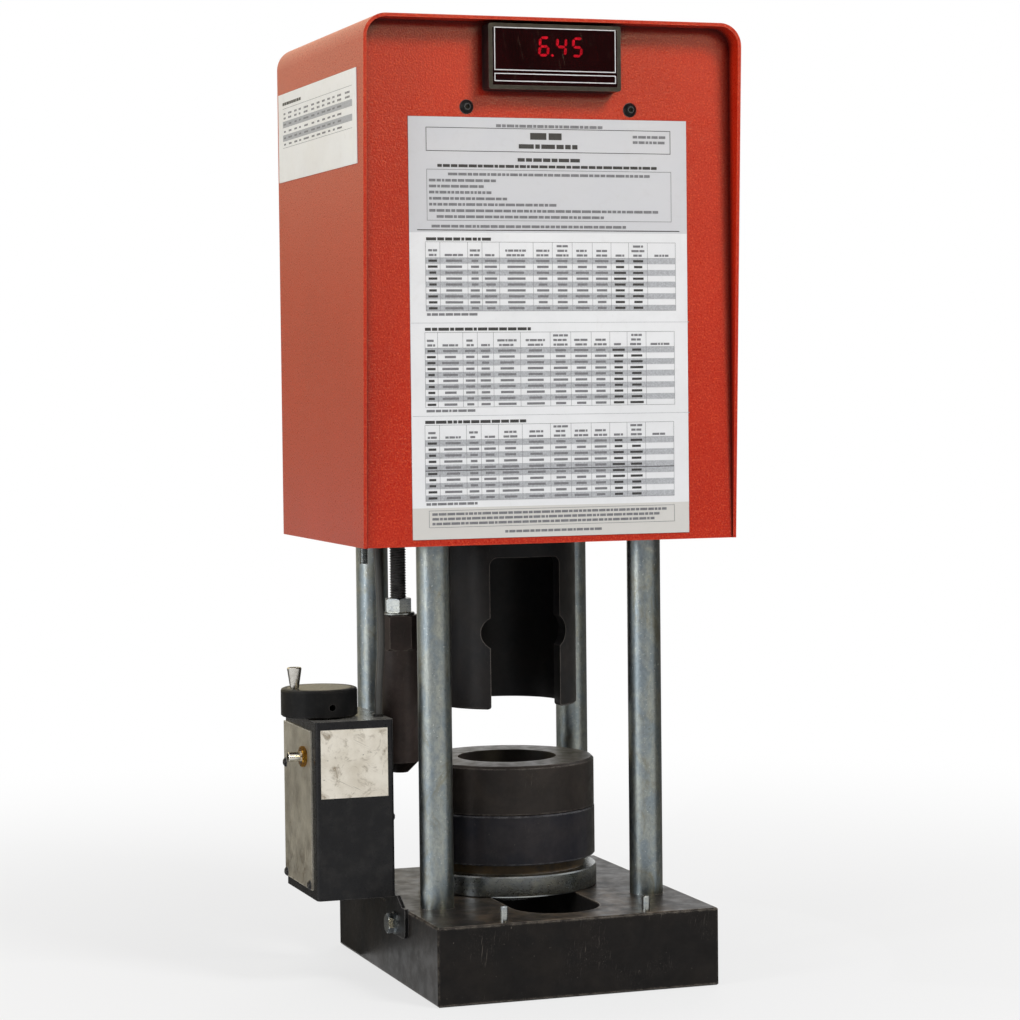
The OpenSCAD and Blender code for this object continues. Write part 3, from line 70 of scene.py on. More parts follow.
def place_camera():
    yaw, pitch, roll = (math.radians(a) for a in (CAMERA_YAW, CAMERA_PITCH, CAMERA_ROLL))
    forward = Vector((math.sin(yaw) * math.cos(pitch), math.cos(yaw) * math.cos(pitch),
                      -math.sin(pitch)))
    flat_right = Vector((math.cos(yaw), -math.sin(yaw), 0))
    flat_up = flat_right.cross(forward)
    right = math.cos(roll) * flat_right + math.sin(roll) * flat_up
    up = right.cross(forward)
    camera = bpy.data.objects.new("camera", bpy.data.cameras.new("camera"))
    camera.data.lens = CAMERA_LENS
    camera.data.sensor_width = CAMERA_SENSOR
    camera.data.clip_end = CAMERA_REACH
    turn = Matrix((right, up, -forward)).transposed().to_4x4()
    camera.matrix_world = Matrix.Translation(CAMERA_PLACE) @ turn
    bpy.context.collection.objects.link(camera)
    bpy.context.scene.camera = camera


place_camera()


# ---------- material building ----------

MIX_A, MIX_B, MIX_COLOUR = 6, 7, 2  # colour sockets of the Mix node: two in, one out


class Finish:
    """One material: a Principled shader and short calls for the nodes that drive it."""

    def __init__(self, name, **values):
        self.material = bpy.data.materials.new(name)
        self.material.use_nodes = True
        self.tree = self.material.node_tree
        self.tree.nodes.clear()
        self.out = self.node("ShaderNodeOutputMaterial")
        self.shader = self.node("ShaderNodeBsdfPrincipled")
        self.feed(self.out.inputs["Surface"], self.shader.outputs[0])
        self.place = self.node("ShaderNodeTexCoord").outputs["Object"]
        self.set(**values)

    def node(self, kind, **props):
        made = self.tree.nodes.new(kind)
        for key, value in props.items():
            setattr(made, key, value)
        return made

    def feed(self, socket, value):
        """Links another node's output to the socket, or sets its own value."""
        if isinstance(value, bpy.types.NodeSocket):
            self.tree.links.new(value, socket)
        elif isinstance(value, (tuple, list)) and len(value) == 3 and socket.type == "RGBA":
            socket.default_value = (*value, 1)
        else:
            socket.default_value = value

    def set(self, **values):
        """Shader sockets by name, with _ for a space."""
        for key, value in values.items():
            self.feed(self.shader.inputs[key.replace("_", " ")], value)

    def math(self, operation, a, b):
        made = self.node("ShaderNodeMath", operation=operation)
        self.feed(made.inputs[0], a)
        self.feed(made.inputs[1], b)
        return made.outputs[0]

    def times(self, a, b):
        return self.math("MULTIPLY", a, b)

    def mix(self, share, a, b):
        """Colour a, turning into colour b as share goes from 0 to 1."""
        made = self.node("ShaderNodeMix", data_type="RGBA")
        self.feed(made.inputs["Factor"], share)
        self.feed(made.inputs[MIX_A], a)
        self.feed(made.inputs[MIX_B], b)
        return made.outputs[MIX_COLOUR]

    def span(self, value, low, high, a=0.0, b=1.0):
        """The value's range low..high spread smoothly over a..b."""
        made = self.node("ShaderNodeMapRange", interpolation_type="SMOOTHSTEP")
        for socket, v in zip(made.inputs, (value, low, high, a, b)):
            self.feed(socket, v)
        return made.outputs[0]

    def turned(self, turn=(0, 0, 0), scale=(1, 1, 1)):
        """Object coordinates turned by degrees, then scaled along the turned axes."""
        made = self.node("ShaderNodeMapping", vector_type="TEXTURE")
        self.feed(made.inputs["Vector"], self.place)
        made.inputs["Rotation"].default_value = [math.radians(a) for a in turn]
        made.inputs["Scale"].default_value = [1 / v for v in scale]
        return made.outputs[0]

    def axis(self, index, of=None):
        """The x, y or z of a vector, by default of the place on the object."""
        made = self.node("ShaderNodeSeparateXYZ")
        self.feed(made.inputs[0], of or self.place)
        return made.outputs[index]

    def noise(self, size_mm, detail, rough, warp=0.0, at=None):
        made = self.node("ShaderNodeTexNoise")
        self.feed(made.inputs["Vector"], at or self.place)
        made.inputs["Scale"].default_value = 1 / (size_mm * MM)
        made.inputs["Detail"].default_value = detail
        made.inputs["Roughness"].default_value = rough
        made.inputs["Distortion"].default_value = warp
        return made.outputs[0]

    def scratches(self, length_mm, width_mm, turn, low, high):
        """Thin straight marks: noise drawn out along one direction and cut to its peaks."""
        drawn = self.turned(turn, (1, length_mm / width_mm, length_mm / width_mm))
        return self.span(self.noise(length_mm, 3, 0.5, at=drawn), low, high)

    def edges(self, radius_mm, low=0.012, high=0.09):
        """Where an edge is near, broken up by noise."""
        bevel = self.node("ShaderNodeBevel", samples=4)
        bevel.inputs["Radius"].default_value = radius_mm * MM
        dot = self.node("ShaderNodeVectorMath", operation="DOT_PRODUCT")
        self.feed(dot.inputs[0], bevel.outputs[0])
        self.feed(dot.inputs[1], self.node("ShaderNodeNewGeometry").outputs["Normal"])
        bent = self.math("SUBTRACT", 1.0, dot.outputs["Value"])
        broken = self.span(self.noise(6, 5, 0.65), 0.30, 0.66, 0.15, 1)
        return self.span(self.times(bent, broken), low, high)

    def corners(self, reach_mm):
        """Where the surface sits in a corner or under a rim: the mask of painted shade."""
        near = self.node("ShaderNodeAmbientOcclusion", samples=8)
        near.inputs["Distance"].default_value = reach_mm * MM
        return self.span(near.outputs["AO"], 0.45, 0.95, 1, 0)

    def upward(self):
        """Faces that look up, where dust settles and where that dust also paints a sheen."""
        normal = self.node("ShaderNodeNewGeometry").outputs["Normal"]
        return self.span(self.axis(2, normal), 0.8, 0.98)

    def bumps(self, *layers):
        """Layers of (height, depth in mm), laid over each other."""
        normal = None
        for height, depth in layers:
            made = self.node("ShaderNodeBump")
            made.inputs["Strength"].default_value = 1.0
            made.inputs["Distance"].default_value = depth * MM
            self.feed(made.inputs["Height"], height)
            if normal:
                self.feed(made.inputs["Normal"], normal)
            normal = made.outputs[0]
        self.set(Normal=normal)


def sRGB(r, g, b):
    """Linear colour of a display colour given in 0..255, by the sRGB curve."""
    return tuple(((v / 255 + 0.055) / 1.055) ** 2.4 if v > 10 else v / 255 / 12.92
                 for v in (r, g, b))


def scaled(colour, share):
    return tuple(min(1, share * c) for c in colour)


# Dirt, dust, bare material and painted shade that show on several finishes; the settled dust is
# also a painted sheen on top faces.
RUBBED_PAINT, PAINTED_CORNER_SHADE = sRGB(216, 92, 66), sRGB(72, 8, 5)
SCRATCH, SLIDE_RUB = sRGB(120, 112, 104), sRGB(104, 90, 74)
COVER_GRIME, COVER_SPOT = sRGB(84, 70, 54), sRGB(70, 62, 52)
COVER_SCRATCH, COVER_EDGE = sRGB(196, 190, 178), sRGB(222, 218, 206)
ZINC_FLECK, ZINC_PIT, ZINC_STAIN = sRGB(226, 230, 230), sRGB(58, 58, 52), sRGB(110, 104, 84)
DUST, SETTLED_DUST_AND_SHEEN, RUBBED_PLASTIC = sRGB(118, 114, 108), sRGB(150, 148, 142), sRGB(120, 116, 112)
PAPER_GRIME, PAPER_SPOT, PAPER_LINE = sRGB(132, 118, 98), sRGB(84, 76, 66), sRGB(120, 110, 96)


def powder_coat(name, base, light, deep):
    """Baked paint with a fine light and dark grain and rubbed edges, darkened in its corners and
    under rims as painted shade.
    """
    f = Finish(name, Specular_IOR_Level=0.4, Specular_Tint=(0.8, 0.8, 0.8, 1))
    grain = f.noise(1.3, 3, 0.6)
    colour = f.mix(f.span(f.noise(110, 3, 0.5), 0.3, 0.7, 0, 0.25), base, deep)
    colour = f.mix(f.span(grain, 0.50, 0.68, 0, 0.75), colour, light)
    colour = f.mix(f.span(grain, 0.32, 0.46, 0.35, 0), colour, deep)
    colour = f.mix(f.times(f.edges(1.6), 0.4), colour, RUBBED_PAINT)
    # Painted shade: the paint darkens by ambient occlusion in corners and under the roof's rim.
    f.set(Base_Color=f.mix(f.times(f.corners(12), 0.95), colour, PAINTED_CORNER_SHADE))
    f.set(Roughness=f.span(grain, 0.3, 0.7, 0.27, 0.32))
    f.bumps((grain, 0.28), (f.noise(5, 2, 0.5), 0.06))
    return f


def handling_marks(f):
    """Scratches in a few directions, thinned out in places, and small nicks."""
    cut = f.scratches(42, 0.5, (0, 98, 14), 0.64, 0.74)
    for turn in ((0, 64, 35), (0, 152, 70), (8, 24, 118)):
        cut = f.math("MAXIMUM", cut, f.scratches(26, 0.45, turn, 0.66, 0.76))
    cut = f.times(cut, f.span(f.noise(34, 3, 0.5), 0.46, 0.62))
    nicks = f.span(f.noise(2.6, 2, 0.5), 0.74, 0.80)
    return f.math("MAXIMUM", cut, f.times(nicks, 0.8))


def oxide(name, base, tint, patch_mm=25, rough=(0.34, 0.55), edge=sRGB(128, 120, 112),
          edge_mm=1.2, edge_share=0.55, marks=0.35, metal=0.0, level=0.35, rubbed=None, foot=None):
    """Black oxide, paint or machined dark steel, with rubbed edges, stains and scratches.

    rubbed is a function that says where another piece slides on this one. foot is the height
    (in metres) below which the surface has a colour of its own, and that colour.
    """
    f = Finish(name, Metallic=metal, Specular_IOR_Level=level, Specular_Tint=(0.5, 0.5, 0.5, 1))
    colour = f.mix(f.span(f.noise(patch_mm, 6, 0.6, 0.4), 0.32, 0.68), base, tint)
    cloud = f.span(f.noise(patch_mm / 4, 5, 0.65), 0.35, 0.72, 0, 0.35)
    colour = f.mix(cloud, colour, scaled(base, 0.55))
    cut = handling_marks(f)
    colour = f.mix(f.times(cut, marks), colour, SCRATCH)
    if foot:
        height, foot_colour = foot
        stained = f.span(f.noise(9, 5, 0.65), 0.3, 0.6, 0.5, 1)
        under = f.times(f.math("LESS_THAN", f.axis(2), height), stained)
        colour = f.mix(under, colour, foot_colour)
    if rubbed:
        swept = f.times(rubbed(f), f.span(f.noise(16, 6, 0.72, 0.25), 0.40, 0.66))
        colour = f.mix(f.times(swept, 0.45), colour, SLIDE_RUB)
    # Paler rubbed edges; on black_oxide they also paint highlights on the rims.
    colour = f.mix(f.times(f.edges(edge_mm), edge_share), colour, edge)
    f.set(Base_Color=colour)
    f.set(Roughness=f.span(f.noise(patch_mm / 3, 5, 0.6), 0.3, 0.7, *rough))
    f.bumps((f.noise(0.5, 3, 0.6), 0.012), (f.math("SUBTRACT", 1.0, cut), 0.02))
    return f


def worn_cover(name, base, tint):
    """Dull aluminium plate, dirty towards its foot, with bright edges."""
    f = Finish(name, Metallic=0.35, Specular_IOR_Level=0.35)
    colour = f.mix(f.span(f.noise(28, 5, 0.6), 0.35, 0.68), base, tint)
    foot_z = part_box("control_box_cover")[0].z
    foot = f.span(f.axis(2), foot_z + 2 * MM, foot_z + 45 * MM, 1.0, 0.25)
    grime = f.span(f.noise(11, 6, 0.72, 1.0), 0.44, 0.66)
    colour = f.mix(f.times(f.times(grime, foot), 0.75), colour, COVER_GRIME)
    spots = f.span(f.noise(4.5, 4, 0.65, 0.6), 0.62, 0.72, 0, 0.5)
    colour = f.mix(spots, colour, COVER_SPOT)
    colour = f.mix(f.scratches(40, 0.8, (70, 0, 8), 0.66, 0.76), colour, COVER_SCRATCH)
    colour = f.mix(f.times(f.edges(1.4, 0.01, 0.05), 0.8), colour, COVER_EDGE)
    f.set(Base_Color=colour)
    f.set(Roughness=f.span(f.noise(12, 5, 0.6), 0.3, 0.7, 0.34, 0.52))
    f.bumps((f.noise(18, 3, 0.5), 0.06), (f.noise(0.8, 2, 0.5), 0.004))
    return f


def plate(name, base, tint, rough=(0.25, 0.45), patch_mm=18, drawn=(1, 1, 1), spangle=0.3,
          stain=ZINC_STAIN, stain_share=0.35, wave=0.006, flecks=0.0):
    """Zinc, nickel or ground metal with mottling drawn out along one axis.

    spangle, stain_share and flecks are shares of dim patches, stains and bright and dark dots,
    and wave is the depth of the surface's waves in mm.
    """
    f = Finish(name, Metallic=1.0)
    at = f.turned(scale=drawn)
    colour = f.mix(f.span(f.noise(patch_mm, 6, 0.62, 0.6, at=at), 0.36, 0.64), base, tint)
    fine = f.noise(patch_mm / 5, 5, 0.7, at=at)
    colour = f.mix(f.span(fine, 0.36, 0.62, spangle, 0), colour, scaled(base, 0.45))
    blots = f.span(f.noise(patch_mm * 1.7, 6, 0.7, 1.0, at=at), 0.52, 0.68)
    colour = f.mix(f.times(blots, stain_share), colour, stain)
    if flecks:
        dots = f.span(f.noise(1.7, 2, 0.5), 0.66, 0.74, 0, flecks)
        colour = f.mix(dots, colour, ZINC_FLECK)
        pits = f.span(f.noise(2.3, 2, 0.5), 0.24, 0.34, 0.6 * flecks, 0)
        colour = f.mix(pits, colour, ZINC_PIT)
    f.set(Base_Color=colour, Roughness=f.span(fine, 0.28, 0.72, *rough))
    f.bumps((f.noise(1.8, 1, 0.5), 0.0012), (f.noise(6, 2, 0.5), wave))
    return f


def moulded(name, base, rough=(0.38, 0.5), grain=(0.35, 0.02), dust=0.12, level=0.5,
            edge_share=0.2, top_dust_and_sheen=0.0):
    """Plastic, rubber or semi-gloss paint, with a little dust and rubbed edges.

    grain is the size and depth of its fine grain in mm, dust the share of dust all over and
    settled the share of pale dust on faces that look up, which also paints their sheen.
    """
    f = Finish(name, Specular_IOR_Level=level, Specular_Tint=(0.55, 0.55, 0.55, 1))
    colour = f.mix(f.span(f.noise(12, 5, 0.65), 0.42, 0.7, 0, dust), base, DUST)
    # Pale dust on faces that look up, strong enough to also be a painted sheen on the box's top.
    dust_and_sheen_on_top = f.times(f.upward(), f.span(f.noise(9, 5, 0.65), 0.3, 0.65, 0.4 * top_dust_and_sheen, top_dust_and_sheen))
    colour = f.mix(dust_and_sheen_on_top, colour, SETTLED_DUST_AND_SHEEN)
    colour = f.mix(f.times(f.edges(0.8), edge_share), colour, RUBBED_PLASTIC)
    f.set(Base_Color=colour)
    f.set(Roughness=f.span(f.noise(7, 5, 0.6), 0.3, 0.7, *rough))
    f.bumps((f.noise(grain[0], 2, 0.5), grain[1]))
    return f


def sheet(name, base, tint, rough=0.42, blots=0.0, patch_mm=60, bands=()):
    """Film or paper. bands are (low z, high z, colour) of toned strips, in mm."""
    f = Finish(name)
    colour = f.mix(f.span(f.noise(patch_mm, 5, 0.6), 0.35, 0.7), base, tint)
    for low, high, tone in bands:
        z = f.axis(2)
        inside = f.times(f.math("GREATER_THAN", z, low * MM), f.math("LESS_THAN", z, high * MM))
        colour = f.mix(inside, colour, tone)
    grime = f.span(f.noise(11, 7, 0.74, 1.2), 0.50, 0.72, 0, blots)
    colour = f.mix(grime, colour, PAPER_GRIME)
    spots = f.span(f.noise(3.4, 4, 0.6, 0.5), 0.66, 0.76, 0, blots)
    colour = f.mix(spots, colour, PAPER_SPOT)
    drawn = f.turned((0, 28, 0), (1, 40, 40))
    lines = f.span(f.noise(30, 3, 0.5, at=drawn), 0.66, 0.74, 0, 0.7 * blots)
    colour = f.mix(lines, colour, PAPER_LINE)
    f.set(Base_Color=colour)
    f.set(Roughness=f.span(f.noise(20, 4, 0.6), 0.3, 0.7, rough - 0.06, rough + 0.08))
    f.bumps((f.noise(30, 2, 0.5), 0.12), (f.noise(0.4, 2, 0.5), 0.004))
    return f


def ink(name, base):
    """Printing ink, a little paler in places."""
    f = Finish(name, Roughness=0.5)
    thin = f.span(f.noise(1.2, 3, 0.7), 0.3, 0.75, 0, 0.5)
    f.set(Base_Color=f.mix(thin, base, scaled(base, 1.9)))
    return f


def window(name, red, deep_red):
    """Smoked red-black display window with hazy wiping marks."""
    f = Finish(name, Transmission_Weight=0.9, IOR=1.49, Specular_IOR_Level=0.35)
    f.set(Base_Color=f.mix(f.span(f.noise(25, 3, 0.5), 0.3, 0.7), red, deep_red))
    haze = f.scratches(40, 1.2, (0, 80, 20), 0.62, 0.75)
    f.set(Roughness=f.span(haze, 0, 1, 0.03, 0.16))
    return f


def lit(name, colour, strength):
    """Lit segments of a display."""
    f = Finish(name, Base_Color=(*colour, 1), Roughness=0.5, Emission_Strength=strength)
    uneven = f.span(f.noise(3, 2, 0.5), 0.3, 0.7)
    f.set(Emission_Color=f.mix(uneven, colour, scaled(colour, 0.8)))
    return f


def slide_track(f):
    """Where the die set slides on top of the base."""
    ring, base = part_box("die_support_ring"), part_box("base_plate")
    half = (ring[1].x - ring[0].x) / 2
    side = f.span(f.math("ABSOLUTE", f.axis(0), 0.0), half - 4 * MM, half + 12 * MM, 1.0, 0.25)
    return f.times(side, f.math("GREATER_THAN", f.axis(2), base[1].z - 0.5 * MM))


NECK_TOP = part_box("die_support_ring")[1].z + 8 * MM

FINISHES = {
    "shroud_red": powder_coat("shroud_red", sRGB(183, 34, 9), sRGB(213, 72, 36), sRGB(158, 22, 6)),
    "base_steel": oxide("base_steel", sRGB(29, 28, 28), sRGB(39, 36, 34), patch_mm=40,
                        rough=(0.28, 0.44), marks=0.55, edge_mm=2.2, edge=sRGB(150, 140, 128),
                        level=0.13, rubbed=slide_track),
    "zinc_column": plate("zinc_column", sRGB(140, 151, 157), sRGB(162, 167, 163),
                         rough=(0.30, 0.38), patch_mm=11, drawn=(1, 1, 0.6), wave=0.0015,
                         stain=sRGB(126, 120, 94), stain_share=0.45, flecks=0.5),
    "zinc_bright": plate("zinc_bright", sRGB(150, 156, 160), sRGB(172, 175, 171),
                         rough=(0.26, 0.32), patch_mm=12, drawn=(1, 1, 2), spangle=0.14,
                         flecks=0.1, wave=0.0015),
    # Its pale edges are rubbed bare metal and also painted rim highlights.
    "black_oxide": oxide("black_oxide", sRGB(20, 20, 21), sRGB(29, 28, 28), patch_mm=12,
                         rough=(0.3, 0.44), marks=0.2, level=0.2, edge=sRGB(150, 148, 146),
                         edge_share=0.45),
    "pusher_black": oxide("pusher_black", sRGB(33, 33, 35), sRGB(41, 38, 37), patch_mm=30,
                          rough=(0.34, 0.44), marks=0.15, level=0.3, edge=sRGB(122, 116, 110)),
    "cast_dark": oxide("cast_dark", sRGB(52, 52, 54), sRGB(62, 60, 58), patch_mm=30,
                       rough=(0.4, 0.6), metal=0.4, marks=0.25),
    "ground_steel": plate("ground_steel", sRGB(142, 146, 148), sRGB(170, 172, 170),
                          rough=(0.24, 0.38), patch_mm=14, drawn=(1, 1, 4),
                          stain=sRGB(84, 80, 72), stain_share=0.6, flecks=0.3),
    "chrome_rod": plate("chrome_rod", sRGB(212, 213, 216), sRGB(226, 226, 228),
                        rough=(0.06, 0.12), patch_mm=30, spangle=0.05, stain_share=0.1,
                        wave=0.002),
    "actuator_brown": oxide("actuator_brown", sRGB(46, 40, 38), sRGB(58, 49, 46), patch_mm=18,
                            rough=(0.32, 0.46), marks=0.25),
    "cone_lower_steel": oxide("cone_lower_steel", sRGB(36, 36, 42), sRGB(48, 45, 47),
                              patch_mm=26, rough=(0.3, 0.44), marks=0.3, edge_mm=1.6,
                              edge=sRGB(150, 150, 152), foot=(NECK_TOP, sRGB(92, 76, 54))),
    "cone_upper_steel": oxide("cone_upper_steel", sRGB(42, 38, 36), sRGB(54, 48, 44),
                              patch_mm=26, rough=(0.32, 0.48), marks=0.25, edge_mm=1.8,
                              edge=sRGB(140, 132, 124)),
    # The dust settled on its top also stands as a painted sheen there.
    "box_black": moulded("box_black", sRGB(21, 21, 23), rough=(0.24, 0.34), grain=(0.6, 0.008),
                         dust=0.05, level=0.4, edge_share=0.3, top_dust_and_sheen=0.45),
    "cover_aluminium": worn_cover("cover_aluminium", sRGB(172, 166, 150), sRGB(140, 134, 120)),
    "aged_label": sheet("aged_label", sRGB(230, 224, 211), sRGB(206, 198, 182), rough=0.5,
                        blots=0.9, patch_mm=25),
    "side_sheet": sheet("side_sheet", sRGB(243, 243, 241), sRGB(238, 237, 234), blots=0.08),
    "chart_sheet": sheet("chart_sheet", sRGB(233, 234, 236), sRGB(226, 227, 229), rough=0.4,
                         blots=0.05, patch_mm=80, bands=((559.4, 700, sRGB(203, 204, 208)),
                                                         (300, 358.1, sRGB(210, 208, 204)))),
    "meter_plastic": moulded("meter_plastic", sRGB(20, 19, 20), rough=(0.3, 0.42), dust=0.08),
    "meter_glass": window("meter_glass", (0.10, 0.008, 0.010), (0.06, 0.005, 0.006)),
    "led_red": lit("led_red", (1.0, 0.06, 0.16), 2.2),
    "dial_black": moulded("dial_black", sRGB(17, 17, 18), rough=(0.4, 0.55), grain=(0.4, 0.02),
                          dust=0.03, level=0.2),
    "dial_metal": plate("dial_metal", sRGB(74, 74, 70), sRGB(98, 96, 90), rough=(0.32, 0.45),
                        patch_mm=8),
    "handle_aluminium": plate("handle_aluminium", sRGB(196, 192, 184), sRGB(214, 211, 205),
                              rough=(0.2, 0.34), patch_mm=5, drawn=(1, 1, 3), spangle=0.2),
    "nickel": plate("nickel", sRGB(206, 202, 190), sRGB(224, 220, 210), rough=(0.12, 0.25),
                    patch_mm=6, spangle=0.15),
    "brass": plate("brass", sRGB(196, 150, 62), sRGB(168, 118, 44), rough=(0.2, 0.36),
                   patch_mm=5, spangle=0.2, stain=sRGB(96, 64, 30)),
    "cable_grey": moulded("cable_grey", sRGB(70, 70, 68), rough=(0.3, 0.4), dust=0.15),
    "rubber_black": moulded("rubber_black", sRGB(22, 22, 22), rough=(0.5, 0.65)),
    "seal_blue": moulded("seal_blue", sRGB(70, 100, 150), rough=(0.4, 0.5)),
    "spring_steel": plate("spring_steel", sRGB(112, 112, 114), sRGB(140, 138, 134),
                          rough=(0.28, 0.42), patch_mm=8, spangle=0.2),
    "carriage_alloy": plate("carriage_alloy", sRGB(150, 154, 160), sRGB(168, 171, 175),
                            rough=(0.3, 0.42), patch_mm=12, spangle=0.15),
    "sensor_housing": moulded("sensor_housing", sRGB(58, 66, 84)),
}

SLOTS = {row["node"]: row["material_slot"] for row in frame["record"]["subparts"]}
for node, obj in frame["nodes"].items():
    obj.data.materials.clear()
    obj.data.materials.append(FINISHES[SLOTS[node]].material)


# ---------- print ----------

def link(obj):
    bpy.context.collection.objects.link(obj)


def add_piece(name, verts, faces, slot, body, finishes=None, which=None):
    """A mesh piece that rides a body. which gives each face's place in the list of finishes."""
    mesh = bpy.data.meshes.new(name)
    mesh.from_pydata([tuple(v) for v in verts], [], faces)
    for finish in finishes or [FINISHES[slot]]:
        mesh.materials.append(finish.material)
    if which:
        mesh.polygons.foreach_set("material_index", which)
    mesh.update()
    obj = bpy.data.objects.new(name, mesh)
    link(obj)
    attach(obj, body)
    return obj


GREY, RULE, TEXT, BOLD = range(4)  # places in INKS
INKS = [ink("ink_grey", sRGB(160, 162, 166)), ink("ink_rule", sRGB(112, 113, 117)),
        ink("ink_text", sRGB(108, 109, 113)), ink("ink_bold", sRGB(44, 45, 48))]

# How far ink stands off its sheet, in mm: what is printed later lies on what came before.
TONE_LIFT, COLUMN_LIFT, FOLD_LIFT, WORD_LIFT, THICK_LIFT = 0.04, 0.06, 0.07, 0.08, 0.09
WORD_LENGTHS, WORD_HALF, WORD_GAP = (1.2, 4.6), 0.62, 0.45  # in heights of the line


class Print:
    """Flat ink shapes on a sheet. Places are mm along the sheet and up, turned to points by at."""

    def __init__(self, at):
        self.at, self.verts, self.faces, self.which = at, [], [], []

    def block(self, x0, x1, z0, z1, tone, lift=TONE_LIFT):
        n = len(self.verts)
        self.verts += [self.at(x, z, lift) for x, z in ((x0, z0), (x1, z0), (x1, z1), (x0, z1))]
        self.faces.append((n, n + 1, n + 2, n + 3))
        self.which.append(tone)

    def rule(self, x0, x1, z, wide, tone, lift):
        self.block(x0, x1, z - wide / 2, z + wide / 2, tone, lift)

    def frame(self, x0, x1, z0, z1, wide, tone):
        self.block(x0, x1, z1 - wide, z1, tone, WORD_LIFT)
        self.block(x0, x1, z0, z0 + wide, tone, WORD_LIFT)
        self.block(x0, x0 + wide, z0 + wide, z1 - wide, tone, WORD_LIFT)
        self.block(x1 - wide, x1, z0 + wide, z1 - wide, tone, WORD_LIFT)

    def line(self, x0, x1, z, high, tone, rng):
        """A line of blocks where a real print has words."""
        x = x0
        while x < x1 - high:
            end = min(x1, x + rng.uniform(*WORD_LENGTHS) * high)
            self.block(x, end, z - WORD_HALF * high, z + WORD_HALF * high, tone, WORD_LIFT)
            x = end + WORD_GAP * high


HEAD_LINES = {1: 1, 3: 1, 6: 3, 9: 1, 10: 3, 11: 1}  # words above a column, where not two
BOLD_COLUMNS = (0, 9, 10)
CELL_HALF, CELL_WIDEST = 0.85, 7  # half the height and the longest half length of a cell's word


def table(p, x, heights, rows, grey_rows, rng, thick_after=None):
    """One printed table: header words, toned rows, column rules and a short word in each cell.

    x are the column edges and heights the top, the rule below the header and the foot.
    """
    top, head, foot = heights
    step = (head - foot) / rows
    for r in grey_rows:
        p.block(x[0], x[-1], head - (r + 1) * step, head - r * step, GREY)
    p.frame(x[0], x[-1], foot, top, 0.25, RULE)
    for edge in x[1:-1]:
        p.block(edge - 0.12, edge + 0.12, foot, top, RULE, COLUMN_LIFT)
    p.rule(x[0], x[-1], head, 0.24, RULE, COLUMN_LIFT)
    if thick_after:
        p.rule(x[0], x[-1], head - thick_after * step, 0.6, BOLD, THICK_LIFT)
    for i, (left, right) in enumerate(zip(x, x[1:])):
        mid, wide = (left + right) / 2, right - left
        for k in range(HEAD_LINES.get(i, 2)):
            half = wide * rng.uniform(0.24, 0.36)
            p.line(mid - half, mid + half, head + 2 + 3.4 * k, 1.3, TEXT, rng)
        if right == x[-1]:
            break  # the last column is left empty for the user
        tone = BOLD if i in BOLD_COLUMNS else TEXT
        for r in range(rows):
            half = min(wide * rng.uniform(0.22, 0.36), CELL_WIDEST)
            p.rule(mid - half, mid + half, head - (r + 0.5) * step, 2 * CELL_HALF, tone, WORD_LIFT)


# The chart's three tables. title and note are (from, to, height) of a line above and below,
# and fold is where a faint line crosses the sheet under the table.
CHART_TABLES = (
    dict(title=(-96.3, -44, 554.6), heights=(552.6, 540.9, 501.9), rows=9,
         x=(-97, -85.8, -64.5, -53.4, -40, -13.6, 1.4, 17.1, 33, 47.9, 62, 77, 99.6),
         grey_rows=(0, 2, 4, 6, 8), thick_after=None, note=(-96.3, -56, 499.6),
         fold=(-108.3, 493.2)),
    dict(title=(-98, -16, 488.8), heights=(486.5, 475.0, 431.5), rows=10,
         x=(-98.2, -88.4, -69, -57.8, -45.3, -24.3, -1, 15.3, 31.5, 46.3, 60.1, 75.3, 98.2),
         grey_rows=(0, 2, 4, 6, 8), thick_after=None, note=(-97.5, -58, 429.1),
         fold=(-108.0, 425.2)),
    dict(title=(-98.6, -20, 420.9), heights=(418.8, 407.6, 363.0), rows=10,
         x=(-99, -87.7, -67, -55.6, -42.2, -23.6, -1.5, 14.8, 30.8, 45.6, 59.4, 74.3, 97.2),
         grey_rows=(0, 2, 4, 5, 7, 9), thick_after=5, note=(-98.4, -59, 360.9), fold=None),
)
# (from, to, height, height of the words, tone) of the heading's lines, and the notes under it.
CHART_HEADING = ((-15, 14, 630.3, 4.0, BOLD), (-24, 23.5, 622.8, 2.6, BOLD),
                 (66, 93, 631.0, 1.6, TEXT), (66, 93, 627.0, 1.6, TEXT),
                 (-25, 24, 612.9, 2.1, BOLD), (-87, 85, 608.0, 1.7, BOLD))
CHART_NOTES = ((-79, 80, 601.9), (-93.6, -42, 597.3), (-93.6, -50.5, 593.0),
               (-93.6, -45.5, 588.6), (-93.6, -33.5, 584.1), (-93.6, 5, 579.8),
               (-93.6, 87, 575.3), (-88, 44, 570.9), (-92, 60, 563.9))
NOTE_HIGH, TITLE_HIGH, FOOT_HIGH = 1.6, 1.8, 1.5  # heights of their words
FOLD_TO, FOLD_WIDE = 110.2, 0.3


